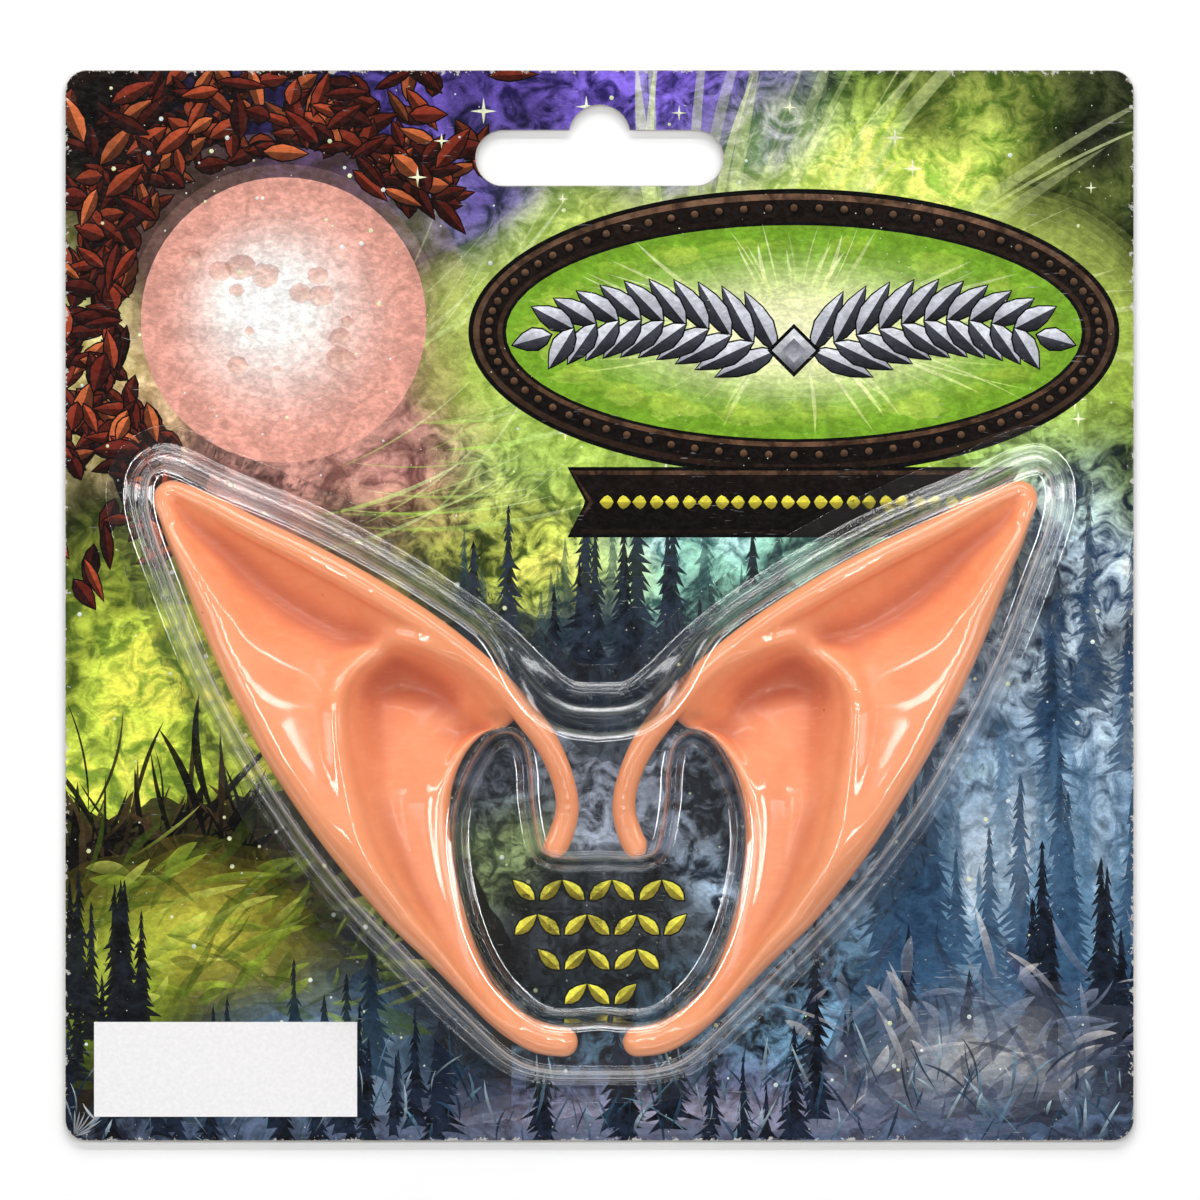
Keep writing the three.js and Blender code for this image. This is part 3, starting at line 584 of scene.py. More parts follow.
def make_ear(name, side, hook_from_middle, swing, material):
    skin, skin_faces = ear_skin()
    rim, rim_faces = rod(RIM_LINE, RIM_RADIUS * ROD_SPREAD, 260)
    lobe, lobe_faces = rod(LOBE_LINE, LOBE_RADIUS * ROD_SPREAD, 80)
    points = np.vstack((swung(skin, swing), rim, swung(lobe, swing)))
    faces = list(skin_faces)
    faces += [tuple(c + len(skin) for c in face) for face in rim_faces]
    faces += [tuple(c + len(skin) + len(rim) for c in face) for face in lobe_faces]
    points = points * (-side, 1, 1)
    points = points + (side * (EAR_REACH + hook_from_middle), -LOBE_DROP, CARD_THICKNESS + REST_CLEARANCE)
    if side > 0:
        faces = [face[::-1] for face in faces]
    ear = mesh_object(name, points, faces)
    blend = ear.modifiers.new("blend", "REMESH")
    blend.mode = "VOXEL"
    blend.voxel_size = VOXEL * MM
    soften = ear.modifiers.new("soften", "SMOOTH")
    soften.factor = 0.5
    soften.iterations = SOFTEN_ROUNDS
    bake_modifiers(ear)
    # The hollow attribute drives the latex's painted shade in hollows and painted light on crests.
    cavity = sum(weight * cavity_of(ear.data, rounds) for rounds, weight in HOLLOW_SCALES)
    hollow = ear.data.attributes.new("hollow", "FLOAT", "POINT")
    hollow.data.foreach_set("value", np.clip(0.5 + cavity, 0, 1))
    finish_piece(ear, material, name)


# Blister

def mirrored_line(names, rows, size_x, size_y, steps=8):
    """Closed line from its left half, with the direction out of it and the rows' places."""
    table = columns(names, rows)
    place = np.linspace(0, len(rows) - 1, (len(rows) - 1) * steps + 1)
    left = np.stack((-smooth(table["x"], place) * size_x, smooth(table["y"], place) * size_y), 1)
    left[0, 0] = left[-1, 0] = 0
    right = (left * (-1, 1))[-2:0:-1]
    line = np.vstack((left, right))
    along = np.roll(line, -1, 0) - np.roll(line, 1, 0)
    along = along / np.linalg.norm(along, axis=1)[:, None]
    out = np.stack((along[:, 1], -along[:, 0]), 1)
    return line, out, np.concatenate((place, place[-2:0:-1]))


def make_blister(material):
    top = CARD_THICKNESS + BLISTER_DEPTH
    low = CARD_THICKNESS + PLASTIC
    foot, foot_out, foot_place = mirrored_line(FOOT_COLUMNS, FOOT_LINE, BLISTER_WIDTH / 2, BLISTER_HEIGHT)
    foot = foot - (0, BLISTER_DROP)
    draft = smooth(columns(FOOT_COLUMNS, FOOT_LINE)["draft"], foot_place) * BLISTER_WIDTH / 2
    recess, recess_out, _ = mirrored_line(RECESS_COLUMNS, RECESS_LINE, EAR_REACH, EAR_RISE)
    recess = recess - (0, LOBE_DROP)

    def profile(drafts, ledge):
        """Steps of a wall from its foot to the flat top: inset and height."""
        steps = [(-(FOOT_ROUND + FLAT_EDGE) * np.ones_like(drafts), low)]
        for turn in np.linspace(0, math.pi / 2, 6):
            steps.append((FOOT_ROUND * (math.sin(turn) - 1) * np.ones_like(drafts),
                          low + FOOT_ROUND * (1 - math.cos(turn))))
        if ledge:
            middle = mix(low, top, LEDGE_AT)
            across = LEDGE_ROUND * (math.sin(LEDGE_STEEP) - math.sin(LEDGE_FLAT))
            start = (drafts * WALL_DRAFT - 2 * across) * 0.5
            for way in (-1, 1):
                for tilt in np.linspace(LEDGE_STEEP, LEDGE_FLAT, 7)[::-way]:
                    inset = across + way * LEDGE_ROUND * (math.sin(tilt) - math.sin(LEDGE_FLAT))
                    rise = way * LEDGE_ROUND * (math.cos(LEDGE_FLAT) - math.cos(tilt))
                    steps.append((start + inset, middle + rise))
        for turn in np.linspace(0, math.pi / 2, 9):
            inset = drafts * WALL_DRAFT + SHOULDER_ROUND * (1 - math.cos(turn))
            steps.append((inset, top - SHOULDER_ROUND * (1 - math.sin(turn))))
        steps.append((steps[-1][0] + FLAT_EDGE, top))
        return steps

    points, faces = [], []

    def add_ring(line, height):
        points.extend((x, y, height) for x, y in line)
        return len(points) - len(line)

    outer = [add_ring(foot + foot_out * (FLANGE_WIDTH - edge), low) for edge in (0, FLAT_EDGE)]
    for inset, height in profile(draft, True):
        outer.append(add_ring(foot - foot_out * inset[:, None], height))
    inner = []
    for inset, height in profile(np.full(len(recess), RECESS_DRAFT), False):
        inner.append(add_ring(recess + recess_out * inset[:, None], height))
    for rings, count in ((outer, len(foot)), (inner, len(recess))):
        for first, second in zip(rings, rings[1:]):
            faces.extend(band(first, second, count))

    def add_flat(loops, height, keep):
        corners, triangles, covers = flat_sheet(loops, spots)
        start = len(points)
        points.extend((x, y, height) for x, y in corners)
        for face, cover in zip(triangles, covers):
            if keep(cover):
                faces.append(tuple(start + c for c in face))

    half = BLISTER_WIDTH / 2
    spots = [(x, y) for x in np.arange(-half, half, TOP_GRID) for y in np.arange(-half, half / 2, TOP_GRID)]
    rim_loop, hole_loop, floor_loop = (
        [point[:2] for point in points[start:start + len(line)]]
        for start, line in ((outer[-1], foot), (inner[-1], recess), (inner[0], recess))
    )
    add_flat([rim_loop, hole_loop], top, lambda cover: cover == [0])
    add_flat([floor_loop], low, lambda cover: True)
    blister = mesh_object("blister_shell", points, faces)
    weld = blister.modifiers.new("weld", "WELD")
    weld.merge_threshold = WELD_REACH * MM
    bake_modifiers(blister)
    turn_out(blister.data)
    sheet = blister.modifiers.new("sheet", "SOLIDIFY")
    sheet.thickness = PLASTIC * MM
    sheet.offset = -1
    bake_modifiers(blister)
    finish_piece(blister, material, "blister")


def turn_out(mesh):
    """Makes the faces of an open sheet face the same way, with the flat ones upwards."""
    work = bmesh.new()
    work.from_mesh(mesh)
    bmesh.ops.recalc_face_normals(work, faces=work.faces)
    up = sum(face.normal.z * face.calc_area() for face in work.faces)
    if up < 0:
        bmesh.ops.reverse_faces(work, faces=work.faces)
    work.to_mesh(mesh)
    work.free()


# Print: painted shapes on a painted ground

# Ground of the print: soft patches, each with its middle, its reach, its strength and two inks
PATCHES = (
    ((-34, 86, 46, 26, 1.0), "3f3478", "16122e"),
    ((-80, 80, 34, 26, 1.0), "33211a", "120c0a"),
    ((40, 84, 34, 20, 0.9), "7f9e44", "1f2c18"),
    ((80, 82, 36, 24, 1.0), "2c3122", "0d0e0a"),
    ((36, 66, 58, 20, 1.0), "dcee6a", "7da628"),
    ((86, 56, 24, 22, 1.0), "232c16", "0b0d08"),
    ((84, 26, 22, 20, 0.9), "7f9c22", "222b0e"),
    ((-84, 36, 17, 30, 1.0), "f6f2a0", "b4b058"),
    ((-46, 26, 42, 22, 1.0), "c9968c", "7c504c"),
    ((-14, 34, 18, 26, 0.9), "c4dc8c", "4c7244"),
    ((-84, 4, 22, 16, 1.0), "2e2824", "0b0a0a"),
    ((-14, 14, 26, 14, 1.0), "ccd85c", "4c5c26"),
    ((22, 8, 28, 18, 1.0), "a4dcc8", "3c6a68"),
    ((60, 16, 28, 18, 1.0), "a8ca3c", "2c3a10"),
    ((-74, -20, 36, 28, 1.0), "dcee48", "7a9426"),
    ((-64, -58, 34, 20, 1.0), "90a824", "2c380e"),
    ((0, -30, 34, 32, 1.0), "98a4b4", "343a44"),
    ((-15, -36, 13, 12, 0.8), "8a9a50", "3c4c30"),
    ((78, -8, 26, 34, 1.0), "cce0ee", "2c4c6c"),
    ((58, -46, 36, 22, 1.0), "b4cce0", "22364e"),
    ((-42, -70, 30, 18, 1.0), "a8d0e6", "1f4263"),
    ((32, -72, 44, 18, 0.9), "7aa4c0", "101e30"),
    ((0, -90, 110, 12, 1.0), "7482a4", "16182a"),
    ((-6, 88, 36, 20, 1.0), "7a60c4", "2b1f60"),
)
BASE_INKS = "22221e", "0f0d0c"
PRINT_CONTRAST = 1.22
PRINT_GAIN = 1.16
PRINT_GREY = 0.1
WARP_REACH = 22
WARP_SIZE = 34
DAPPLE_STRENGTH = 1.1
DAPPLE_SIZE = 11
PRINT_GRID = 1.05
PRINT_GRID_SHIFT = 0.3

# Veil below which the ground shows too little to need faces of its own, and the bend of a straight line
THIN_VEIL = 0.16
JOIN_ANGLE = 0.01

# Leaf: places along its rib and half its width there, in shares
LEAF_ALONG = np.array((0, 0.18, 0.42, 0.68, 0.88, 1.0))
LEAF_HALF = np.array((0, 0.34, 0.5, 0.38, 0.16, 0))


def ground(x, y):
    """The two inks of the painted ground at points of the card."""
    warp_x = x + WARP_REACH * clouds(x, y, WARP_SIZE, 11)
    warp_y = y + WARP_REACH * clouds(x, y, WARP_SIZE, 23)
    inks = [np.tile(ink(code), (len(x), 1)) for code in BASE_INKS]
    for (px, py, wide, high, strength), *codes in PATCHES:
        share = ease(1.4 - np.hypot((warp_x - px) / wide, (warp_y - py) / high)) * strength
        for layer, code in enumerate(codes):
            inks[layer] = mix(inks[layer], ink(code), share[:, None])
    dapple = 1 + DAPPLE_STRENGTH * clouds(x + 5 * clouds(x, y, 8, 3), y, DAPPLE_SIZE, 47, 5)[:, None]
    return [np.clip(layer * dapple, 0, 1) for layer in inks]


def blob(x, y, wide, high, count, wave=0.0, seed=0):
    """Oval whose rim may be wavy."""
    turn = np.arange(count) * 2 * math.pi / count
    size = 1 + wave * value_noise(3 * np.cos(turn) + 9, 3 * np.sin(turn) + 9, seed)
    return list(zip(x + wide * size * np.cos(turn), y + high * size * np.sin(turn)))


def leaf_halves(x, y, length, width, turn):
    """The two sides of a pointed leaf that starts at a point, on each side of its rib."""
    c, s = math.cos(turn), math.sin(turn)
    return [
        [(x + c * u - s * v, y + s * u + c * v) for u, v in zip(LEAF_ALONG * length, way * width * LEAF_HALF)]
        for way in (1, -1)
    ]


def leaf(x, y, length, width, turn):
    left, right = leaf_halves(x, y, length, width, turn)
    return left + right[-2:0:-1]


def spark(x, y, size):
    """Star with four thin points."""
    return [
        (x + reach * math.cos(turn * math.pi / 4), y + reach * math.sin(turn * math.pi / 4))
        for turn, reach in enumerate((size, size * 0.2) * 4)
    ]


def spruce(x, base, height, dice):
    """Ragged spruce from the top down one side and up the other."""
    tiers = max(6, int(height / 1.5))
    sides = []
    for way in (1, -1):
        side = []
        for i in range(1, tiers + 1):
            share = i / tiers
            half = height * (0.015 + 0.15 * share ** 1.25) * dice.uniform(0.5, 1.3)
            level = base + height * (1 - share)
            side.append((x + way * half, level - height * 0.03 * dice.uniform(0, 1.5)))
            side.append((x + way * half * dice.uniform(0.2, 0.5), level + height / tiers * 0.1))
        sides.append(side)
    return [(x, base + height)] + sides[0] + sides[1][::-1]


def ridge_shape(left, right, level, rise, size, seed, foot=-100.0, foot_rise=0.0):
    """Hill between two sides whose upper edge wanders round a level, and so may its foot."""
    x = np.arange(left, right, 0.9)
    end = ease((x - left) / 12) * ease((right - x) / 12)
    y = level + rise * clouds(x, np.full_like(x, seed * 3.7), size, seed, 5) - (1 - end) * 14
    low = foot + foot_rise * clouds(x, np.full_like(x, seed * 5.1), size, seed, 5)
    return list(zip(x, y)) + list(zip(x[::-1], low[::-1]))


def streak(x, y, turn, length, width, bend):
    """Long thin curved streak that is pointed at both ends."""
    share = np.linspace(0, 1, 14)
    angle = turn + bend * share
    step = length / len(share)
    line_x = x + np.cumsum(np.cos(angle) * step)
    line_y = y + np.cumsum(np.sin(angle) * step)
    half = width / 2 * np.sin(np.pi * share) ** 0.8
    left = list(zip(line_x - np.sin(angle) * half, line_y + np.cos(angle) * half))
    right = list(zip(line_x + np.sin(angle) * half, line_y - np.cos(angle) * half))
    return left + right[-2:0:-1]


def painted_shapes():
    """Shapes of the print from the back to the front: outline, upper, lower and other inks, and a veil,
    the share of what lies behind that shows through."""
    dice = random.Random(7)
    shapes = []

    def paint(outline, upper, lower, veil=0.0, second=None):
        codes = upper, lower, second
        inks = [ink(code) if isinstance(code, str) else code for code in codes]
        shapes.append({"outline": outline, "inks": inks, "veil": veil})

    def disc(x, y, wide, high, edge, middle, rings, veil=0.0, shift=0.0, wave=0.0):
        """Oval that changes from one ink at its edge to another in its middle."""
        for i in range(rings):
            share = i / rings
            left = 1 - share ** 0.8
            tone = mix(ink(edge), ink(middle), ease(1.25 * share))
            middle_x, middle_y = x - shift * share, y + shift * share
            paint(blob(middle_x, middle_y, wide * left, high * left, 64, wave, 5), tone, tone, veil)

    def forest(count, left, right, low, high, least, most, upper, lower, veil, second=None):
        for i in range(count):
            x = dice.uniform(left, right)
            base = dice.uniform(low, high)
            height = dice.uniform(least, most)
            paint(spruce(x, base, height, dice), upper, lower, veil, second)

    def strokes(count, left, right, low, high, turns, lengths, widths, tones, lower, veil):
        """Brush strokes that start in a box."""
        for i in range(count):
            x, y = dice.uniform(left, right), dice.uniform(low, high)
            turn, length, width = (dice.uniform(*ends) for ends in (turns, lengths, widths))
            paint(streak(x, y, turn, length, width, dice.uniform(-0.8, 0.8)), dice.choice(tones), lower, veil)

    def two_sided(x, y, length, width, turn, light, dark, edge):
        """Leaf with a lit side and a dark one on a dark edge."""
        rim = 0.35
        start = x - rim * math.cos(turn), y - rim * math.sin(turn)
        paint(leaf(*start, length + 2 * rim, width + 1.6 * rim, turn), edge, edge)
        sides = leaf_halves(x, y, length, width, turn)
        if math.cos(turn) < 0:
            sides = sides[::-1]
        paint(sides[0], *light)
        paint(sides[1], *dark)

    # Glowing streaks that fan out over the upper right
    for i in range(10):
        paint(blob(34, 43, 65 - 1.2 * i, 32 - 1.2 * i, 72, 0.1, 3), "e2f27a", "b4da30", 0.9)
    for i in range(46):
        turn = math.radians(dice.uniform(8, 108))
        reach = dice.uniform(8, 26)
        start = (18 + reach * math.cos(turn), 26 + reach * math.sin(turn))
        paint(streak(*start, turn, dice.uniform(30, 80), dice.uniform(0.2, 2.6), dice.uniform(-0.5, -0.1)),
              "f6fac4", "c8e668", dice.uniform(0.5, 0.88))
    for i in range(34):
        start = (dice.uniform(-50, -20), dice.uniform(8, 40))
        paint(streak(*start, dice.uniform(-0.2, 0.9), dice.uniform(20, 46), dice.uniform(0.15, 0.9), 0.4),
              "f0f8cc", "b4dc50", dice.uniform(0.35, 0.75))

    # Streaks of mist on the right
    for i in range(60):
        start = (dice.uniform(48, 90), dice.uniform(-62, -20))
        paint(streak(*start, dice.uniform(1.3, 1.9), dice.uniform(14, 44), dice.uniform(0.4, 3.6), 0.15),
              dice.choice(("d4e6f2", "9cc0da", "2c5680", "1c3450")), "5f90b8", dice.uniform(0.6, 0.85))

    # Pale round disc behind russet leaves, with soft marks on it
    disc(-52, 47, 31, 31, "e0b09c", "f0c8b4", 9, 0.88)
    disc(-52, 47, 23.5, 23.5, "e4a898", "fffaf6", 16, 0, 4.0)
    for i in range(15):
        turn, reach = dice.uniform(0, 2 * math.pi), dice.uniform(5, 20)
        size = dice.uniform(0.6, 2.8)
        x, y = -52 + reach * math.cos(turn), 47 + reach * math.sin(turn)
        paint(blob(x, y, size, size * 0.85, 24, 0.14, i), "b87868", "d89c8a", 0.55)
        paint(blob(x + 0.14 * size, y - 0.14 * size, size * 0.8, size * 0.66, 24, 0.14, i),
              "e8b8a4", "fbe0d0", 0.5)
    for i in range(500):
        turn = math.radians(dice.uniform(35, 245))
        reach = 24.5 + abs(dice.gauss(0, 9.5))
        x, y = -52 + reach * math.cos(turn) * 1.05, 47 + reach * math.sin(turn) * 1.12
        depth = i / 500
        tone = dice.choice(("7a2812", "9c3c18", "5a1c0c", "b4501f", "6a2210", "cf7236"))
        light = mix(ink("1c0a06"), ink(tone), 0.25 + 0.75 * depth)
        dark = light * 0.4
        two_sided(x, y, dice.uniform(4, 8.5), dice.uniform(1.6, 3.2), turn + dice.uniform(-2.0, 2.0),
                  (light * 1.25, light * 0.9), (dark, dark * 0.7), "120705")

    # Far and near hills with spruces
    paint(ridge_shape(-32, 36, -4, 10, 16, 31, -24, 16), "2f4350", "2c3846", 0.35)
    forest(16, -26, 30, -16, -6, 12, 26, "3a5a62", "2a3c48", 0.35)
    forest(13, -22, 26, -20, -8, 14, 34, "12111a", "222a36", 0.04, "3c4a5c")
    paint(ridge_shape(-100, -14, -34, 16, 20, 41), "18120f", "0b0908", 0.1, "3c3222")
    browns = "1a1410", "0c0908", "5c4a2c"
    strokes(150, -88, -44, -56, -36, (0.2, 2.6), (6, 24), (0.3, 1.4), browns, "0c0908", 0.05)
    disc(-46, -76, 34, 22, "3c6a90", "c4e0f0", 12, 0.88, 0, 0.25)
    disc(-68, -54, 32, 15, "a49c14", "f4f250", 12, 0.86, 0, 0.3)
    disc(-80, -62, 16, 16, "8fb018", "e6f460", 10, 0.88, 0, 0.3)
    greens = "eef46c", "b4cc2c", "50660f", "1c240c"
    strokes(130, -88, -36, -68, -42, (-0.5, 1.3), (4, 18), (0.3, 2.4), greens, "5c7414", 0.5)
    forest(14, -66, -16, -90, -74, 12, 28, "10202f", "2c4c66", 0.12)
    forest(14, -90, -72, -80, -62, 14, 30, "0e0d12", "15161f", 0.03, "28303a")
    disc(68, -44, 32, 28, "7ca4c4", "eef4f8", 12, 0.86, 0, 0.25)
    forest(9, 66, 92, -34, -4, 16, 34, "0f1a28", "24405a", 0.3, "35587a")
    forest(22, 44, 90, -64, -48, 14, 40, "4c7898", "6f9ab8", 0.45)
    forest(18, 46, 90, -72, -58, 16, 46, "1c3148", "33587a", 0.15, "426a8a")
    paint(ridge_shape(34, 100, -66, 14, 18, 51), "18283e", "0c1220", 0.45, "5c88ac")
    forest(22, 34, 92, -86, -74, 14, 38, "0c0c14", "141d2e", 0.03, "26364c")
    disc(10, -84, 80, 9, "74708c", "dcd4e4", 8, 0.88, 0, 0.3)
    disc(62, -74, 32, 13, "8a92a4", "f4f0ea", 8, 0.88, 0, 0.3)
    greys = "f0ece8", "a8b4c8", "3c465c", "181c2a"
    strokes(130, 34, 88, -86, -62, (0.2, 2.6), (4, 15), (0.3, 2.2), greys, "5a6480", 0.5)
    paint(ridge_shape(-100, 100, -85, 7, 14, 61), "1c1c2b", "0a0a12", 0.45, "7a8eb0")
    forest(34, -90, 44, -92, -84, 8, 24, "0e0d15", "10121c", 0.04, "283850")
    blades = "86b2c8", "3f6a86", "24405c", "c4dce6"
    strokes(220, -88, 88, -90, -78, (0.9, 2.3), (3, 11), (0.15, 0.6), blades, "182c40", 0.2)

    # Sparks and drifting dots
    for i in range(260):
        x, y = dice.uniform(-86, 86), dice.uniform(-80, 86)
        size = dice.choice((0.18, 0.22, 0.3, 0.4))
        paint(blob(x, y, size, size, 6), "f4f8e0", dice.choice(("e4ee9c", "cfe4f4")), 0.15)
    for i in range(34):
        x, y, size = dice.uniform(-30, 86), dice.uniform(20, 86), dice.uniform(0.8, 2.2)
        paint(spark(x, y, size), "fdfff0", "e6f0b0", 0.1)

    # Plain oval plate with a sprig of grey leaves
    x, y = 32.0, 45.0
    for wide, high, upper, lower, second in (
        (53.6, 23.6, "0c0705", "060403", None),
        (52.8, 22.8, "8c6c54", "1c110c", "3c281c"),
        (51.8, 21.8, "2c1c14", "1a100b", "140c08"),
        (48.8, 18.9, "0c0705", "7a5c44", "2c1c14"),
        (48.0, 18.1, "0a0a04", "0a0a04", None),
    ):
        paint(blob(x, y, wide, high, 140), upper, lower, 0, second)
    for i in range(76):
        turn = i * 2 * math.pi / 76
        spot = x + 50.3 * math.cos(turn), y + 20.35 * math.sin(turn)
        paint(blob(*spot, 0.95, 0.95, 12), "0a0605", "0a0605")
        paint(blob(spot[0], spot[1] + 0.12, 0.62, 0.62, 10), "8a6a50", "3a2619")
    disc(x, y, 47.4, 17.6, "86b416", "fbfdc8", 16)
    for i in range(60):
        turn = dice.uniform(0, 2 * math.pi)
        spot = x + 41 * math.cos(turn), y + 14 * math.sin(turn)
        paint(blob(*spot, dice.uniform(1.5, 5), dice.uniform(0.8, 2.4), 20, 0.3, i),
              "d8ee50", dice.choice(("5c8c10", "e8f480", "3c6a0c")), 0.78)
    for i in range(60):
        turn = dice.uniform(0, 2 * math.pi)
        start = x + 14 * math.cos(turn), y + 5 * math.sin(turn)
        reach = dice.uniform(0.5, 0.8) * 17 / max(abs(math.sin(turn)), 0.5)
        paint(streak(*start, math.atan2(math.sin(turn) * 0.6, math.cos(turn)), reach, dice.uniform(0.15, 0.7),
                     dice.uniform(-0.3, 0.3)), "fbfdd8", "e6f48c", dice.uniform(0.4, 0.8))
    silver = ("e4e6ee", "a4a6b2"), ("5a5c68", "24252c"), "08080b"
    for way in (1, -1):
        stem_x = x + way * np.linspace(3, 40, 11)
        stem_y = y - 3 + 5 * np.sin(np.linspace(0, 2.6, 11))
        for i in range(len(stem_x) - 1):
            along = math.atan2(stem_y[i + 1] - stem_y[i], stem_x[i + 1] - stem_x[i])
            size = 10.8 - 0.35 * i
            for lean in (0.75, -0.75):
                two_sided(stem_x[i], stem_y[i], size, 3.6, along + lean * way, *silver)
        two_sided(stem_x[-1], stem_y[-1], 6.5, 3.6, along, *silver)
    for size, *inks in ((4.4, "08080b", "08080b"), (3.6, "eceef4", "4c4e5a"), (2.0, "6c6e7a", "c4c6d0")):
        paint(blob(x, y - 3, size, size, 4), *inks)

    # Plain dark ribbon with pairs of leaves
    ribbon = [(-4, 21.5), (-1, 17.0), (-4, 12.5), (68, 12.5), (65, 17.0), (68, 21.5)]
    for grow, upper, lower in ((1.3, "060403", "060403"), (0.7, "6c503c", "241811"), (0, "241711", "150d09")):
        paint([(px + math.copysign(grow, px - 30), py + grow * np.sign(py - 17)) for px, py in ribbon],
              upper, lower, 0, "0e0806")
    for i in range(12):
        px = 2.6 + i * 5.4
        for turn in (0, math.pi):
            two_sided(px + (0.3 if turn == 0 else -0.3), 17, 2.3, 2.3, turn,
                      ("f4ec3c", "e0d828"), ("c0b420", "948a14"), "0c0805")

    # Small yellow leaves in the clear middle
    for grow in (1.0, 0.95, 0.9, 0.85, 0.8):
        paint(blob(0, -55, 21 * grow, 15 * grow, 60, 0.1, 9), "11170f", "0d1210", 0.82)
    for row, count in enumerate((7, 7, 5, 3)):
        for i in range(count):
            odd = (i + row) % 2
            px = (i - (count - 1) / 2) * 4.1 + (-1.6 if odd else 1.6)
            two_sided(px, -48.5 - row * 5.7, 4.9, 2.2, 0.75 if odd else 2.39,
                      ("fcf650", "e8de28"), ("c4b81c", "9c9012"), "080a06")

    # Creases in the lower left corner
    for i in range(7):
        paint(streak(-86.6, -87.4, 0.25 + i * 0.2, dice.uniform(3, 7), 0.28, 0.15), "b9bcc0", "8d9096", 0.1)
    paint(streak(-85.2, -81.6, -1.15, 4.2, 0.4, 0.5), "c9ccd0", "9a9da2", 0)
    return shapes


def card_outline(inset):
    """Rounded outline of the card."""
    line = []
    x, y = CARD_WIDTH / 2 - CARD_CORNER, CARD_HEIGHT / 2 - CARD_CORNER
    for corner, (cx, cy) in enumerate(((x, y), (-x, y), (-x, -y), (x, -y))):
        for turn in np.linspace(corner, corner + 1, 11) * math.pi / 2:
            radius = CARD_CORNER - inset
            line.append((cx + radius * math.cos(turn), cy + radius * math.sin(turn)))
    return line


def slot_outline(grow):
    """Hang slot with its round notch."""
    middle = CARD_HEIGHT / 2 - SLOT_FROM_TOP
    half = SLOT_WIDTH / 2 + grow
    end = SLOT_LENGTH / 2 - SLOT_WIDTH / 2
    radius = NOTCH_RADIUS + grow
    angle = math.asin((half - NOTCH_RISE) / radius)
    line = []
    for turn in np.linspace(angle, math.pi - angle, 21):
        line.append((radius * math.cos(turn), middle + NOTCH_RISE + radius * math.sin(turn)))
    for turn in np.linspace(math.pi / 2, 1.5 * math.pi, 21):
        line.append((-end + half * math.cos(turn), middle + half * math.sin(turn)))
    for turn in np.linspace(-math.pi / 2, math.pi / 2, 21):
        line.append((end + half * math.cos(turn), middle + half * math.sin(turn)))
    return line


def print_inks(spread, kept, shapes):
    """The two inks of the print at the corners of all front faces."""
    painted = [[] for shape in shapes]
    for i, (face, cover) in enumerate(kept):
        for layer in cover:
            if layer > 1:
                painted[layer - 2].extend((3 * i, 3 * i + 1, 3 * i + 2))
    first, second = ground(spread[:, 0], spread[:, 1])
    for here, shape in zip(painted, shapes):
        y = np.array(shape["outline"])[:, 1]
        rise = np.clip((spread[here, 1] - y.min()) / (np.ptp(y) + 0.01), 0, 1)[:, None]
        upper, lower, other = shape["inks"]
        tone = mix(lower, upper, rise)
        second_tone = tone * 0.78 if other is None else mix(tone, other, 0.8)
        first[here] = mix(tone, first[here], shape["veil"])
        second[here] = mix(second_tone, second[here], shape["veil"])
    lit = [np.clip(PRINT_GAIN * layer ** PRINT_CONTRAST, 0, 1) for layer in (first, second)]
    return [mix(layer, layer.mean(1, keepdims=True), PRINT_GREY) for layer in lit]


def card_solid(corners, faces):
    """Board with rounded edges under the faces of its front, which come first in it."""
    edges = boundary_edges(faces)
    out = loop_normals(corners, edges)
    points = [np.column_stack((corners, np.full(len(corners), CARD_THICKNESS)))]
    levels = [{v: v for v in out}]
    start = len(corners)
    rounded = CARD_EDGE_ROUND
    for height, grow in ((CARD_THICKNESS - rounded, rounded), (rounded, rounded), (0, 0)):
        levels.append({v: start + i for i, v in enumerate(out)})
        points.append(np.array([(*(corners[v] + out[v] * grow), height) for v in out]))
        start += len(out)
    rim = list(out)
    spots, back, covers = flat_sheet([[tuple(corners[v]) for v in chain] for chain in closed_chains(edges)])
    nearest = ((spots[:, None] - corners[rim][None]) ** 2).sum(2).argmin(1)
    all_faces = list(faces)
    for face, cover in zip(back, covers):
        if len(cover) == 1:
            all_faces.append(tuple(levels[-1][rim[nearest[c]]] for c in face[::-1]))
    for a, b in edges:
        for high, low in zip(levels, levels[1:]):
            all_faces.append((high[b], high[a], low[a], low[b]))
    return mesh_object("card_board", np.vstack(points), all_faces)


def make_card(material):
    shapes = painted_shapes()
    loops = [card_outline(CARD_EDGE_ROUND), slot_outline(CARD_EDGE_ROUND)]
    loops += [shape["outline"] for shape in shapes]
    row = np.arange(-87, 87.5, PRINT_GRID)
    grid = np.stack([axis.ravel() for axis in np.meshgrid(row, row)], 1)
    spots = grid + np.random.default_rng(3).uniform(-PRINT_GRID_SHIFT, PRINT_GRID_SHIFT, grid.shape)
    corners, triangles, covers = flat_sheet(loops, [tuple(spot) for spot in spots])
    kept = [(face, cover) for face, cover in zip(triangles, covers) if 0 in cover and 1 not in cover]
    used = sorted({corner for face, cover in kept for corner in face})
    number = {corner: i for i, corner in enumerate(used)}
    corners = corners[used]
    faces = [[number[corner] for corner in face] for face, cover in kept]
    card = card_solid(corners, faces)
    inks = print_inks(corners[[c for face in faces for c in face]], kept, shapes)
    for name, values in zip(("ink_a", "ink_b"), inks):
        layer = np.ones((len(card.data.loops), 4))
        layer[:, :3] = ink("b9b4ac")
        layer[:len(values), :3] = values
        made = card.data.color_attributes.new(name, "FLOAT_COLOR", "CORNER")
        made.data.foreach_set("color", layer.ravel())
    join_faces(card, [opaque_layers(cover, shapes) for face, cover in kept])
    finish_piece(card, material, "backing_card")
    for polygon in card.data.polygons:
        polygon.use_smooth = False


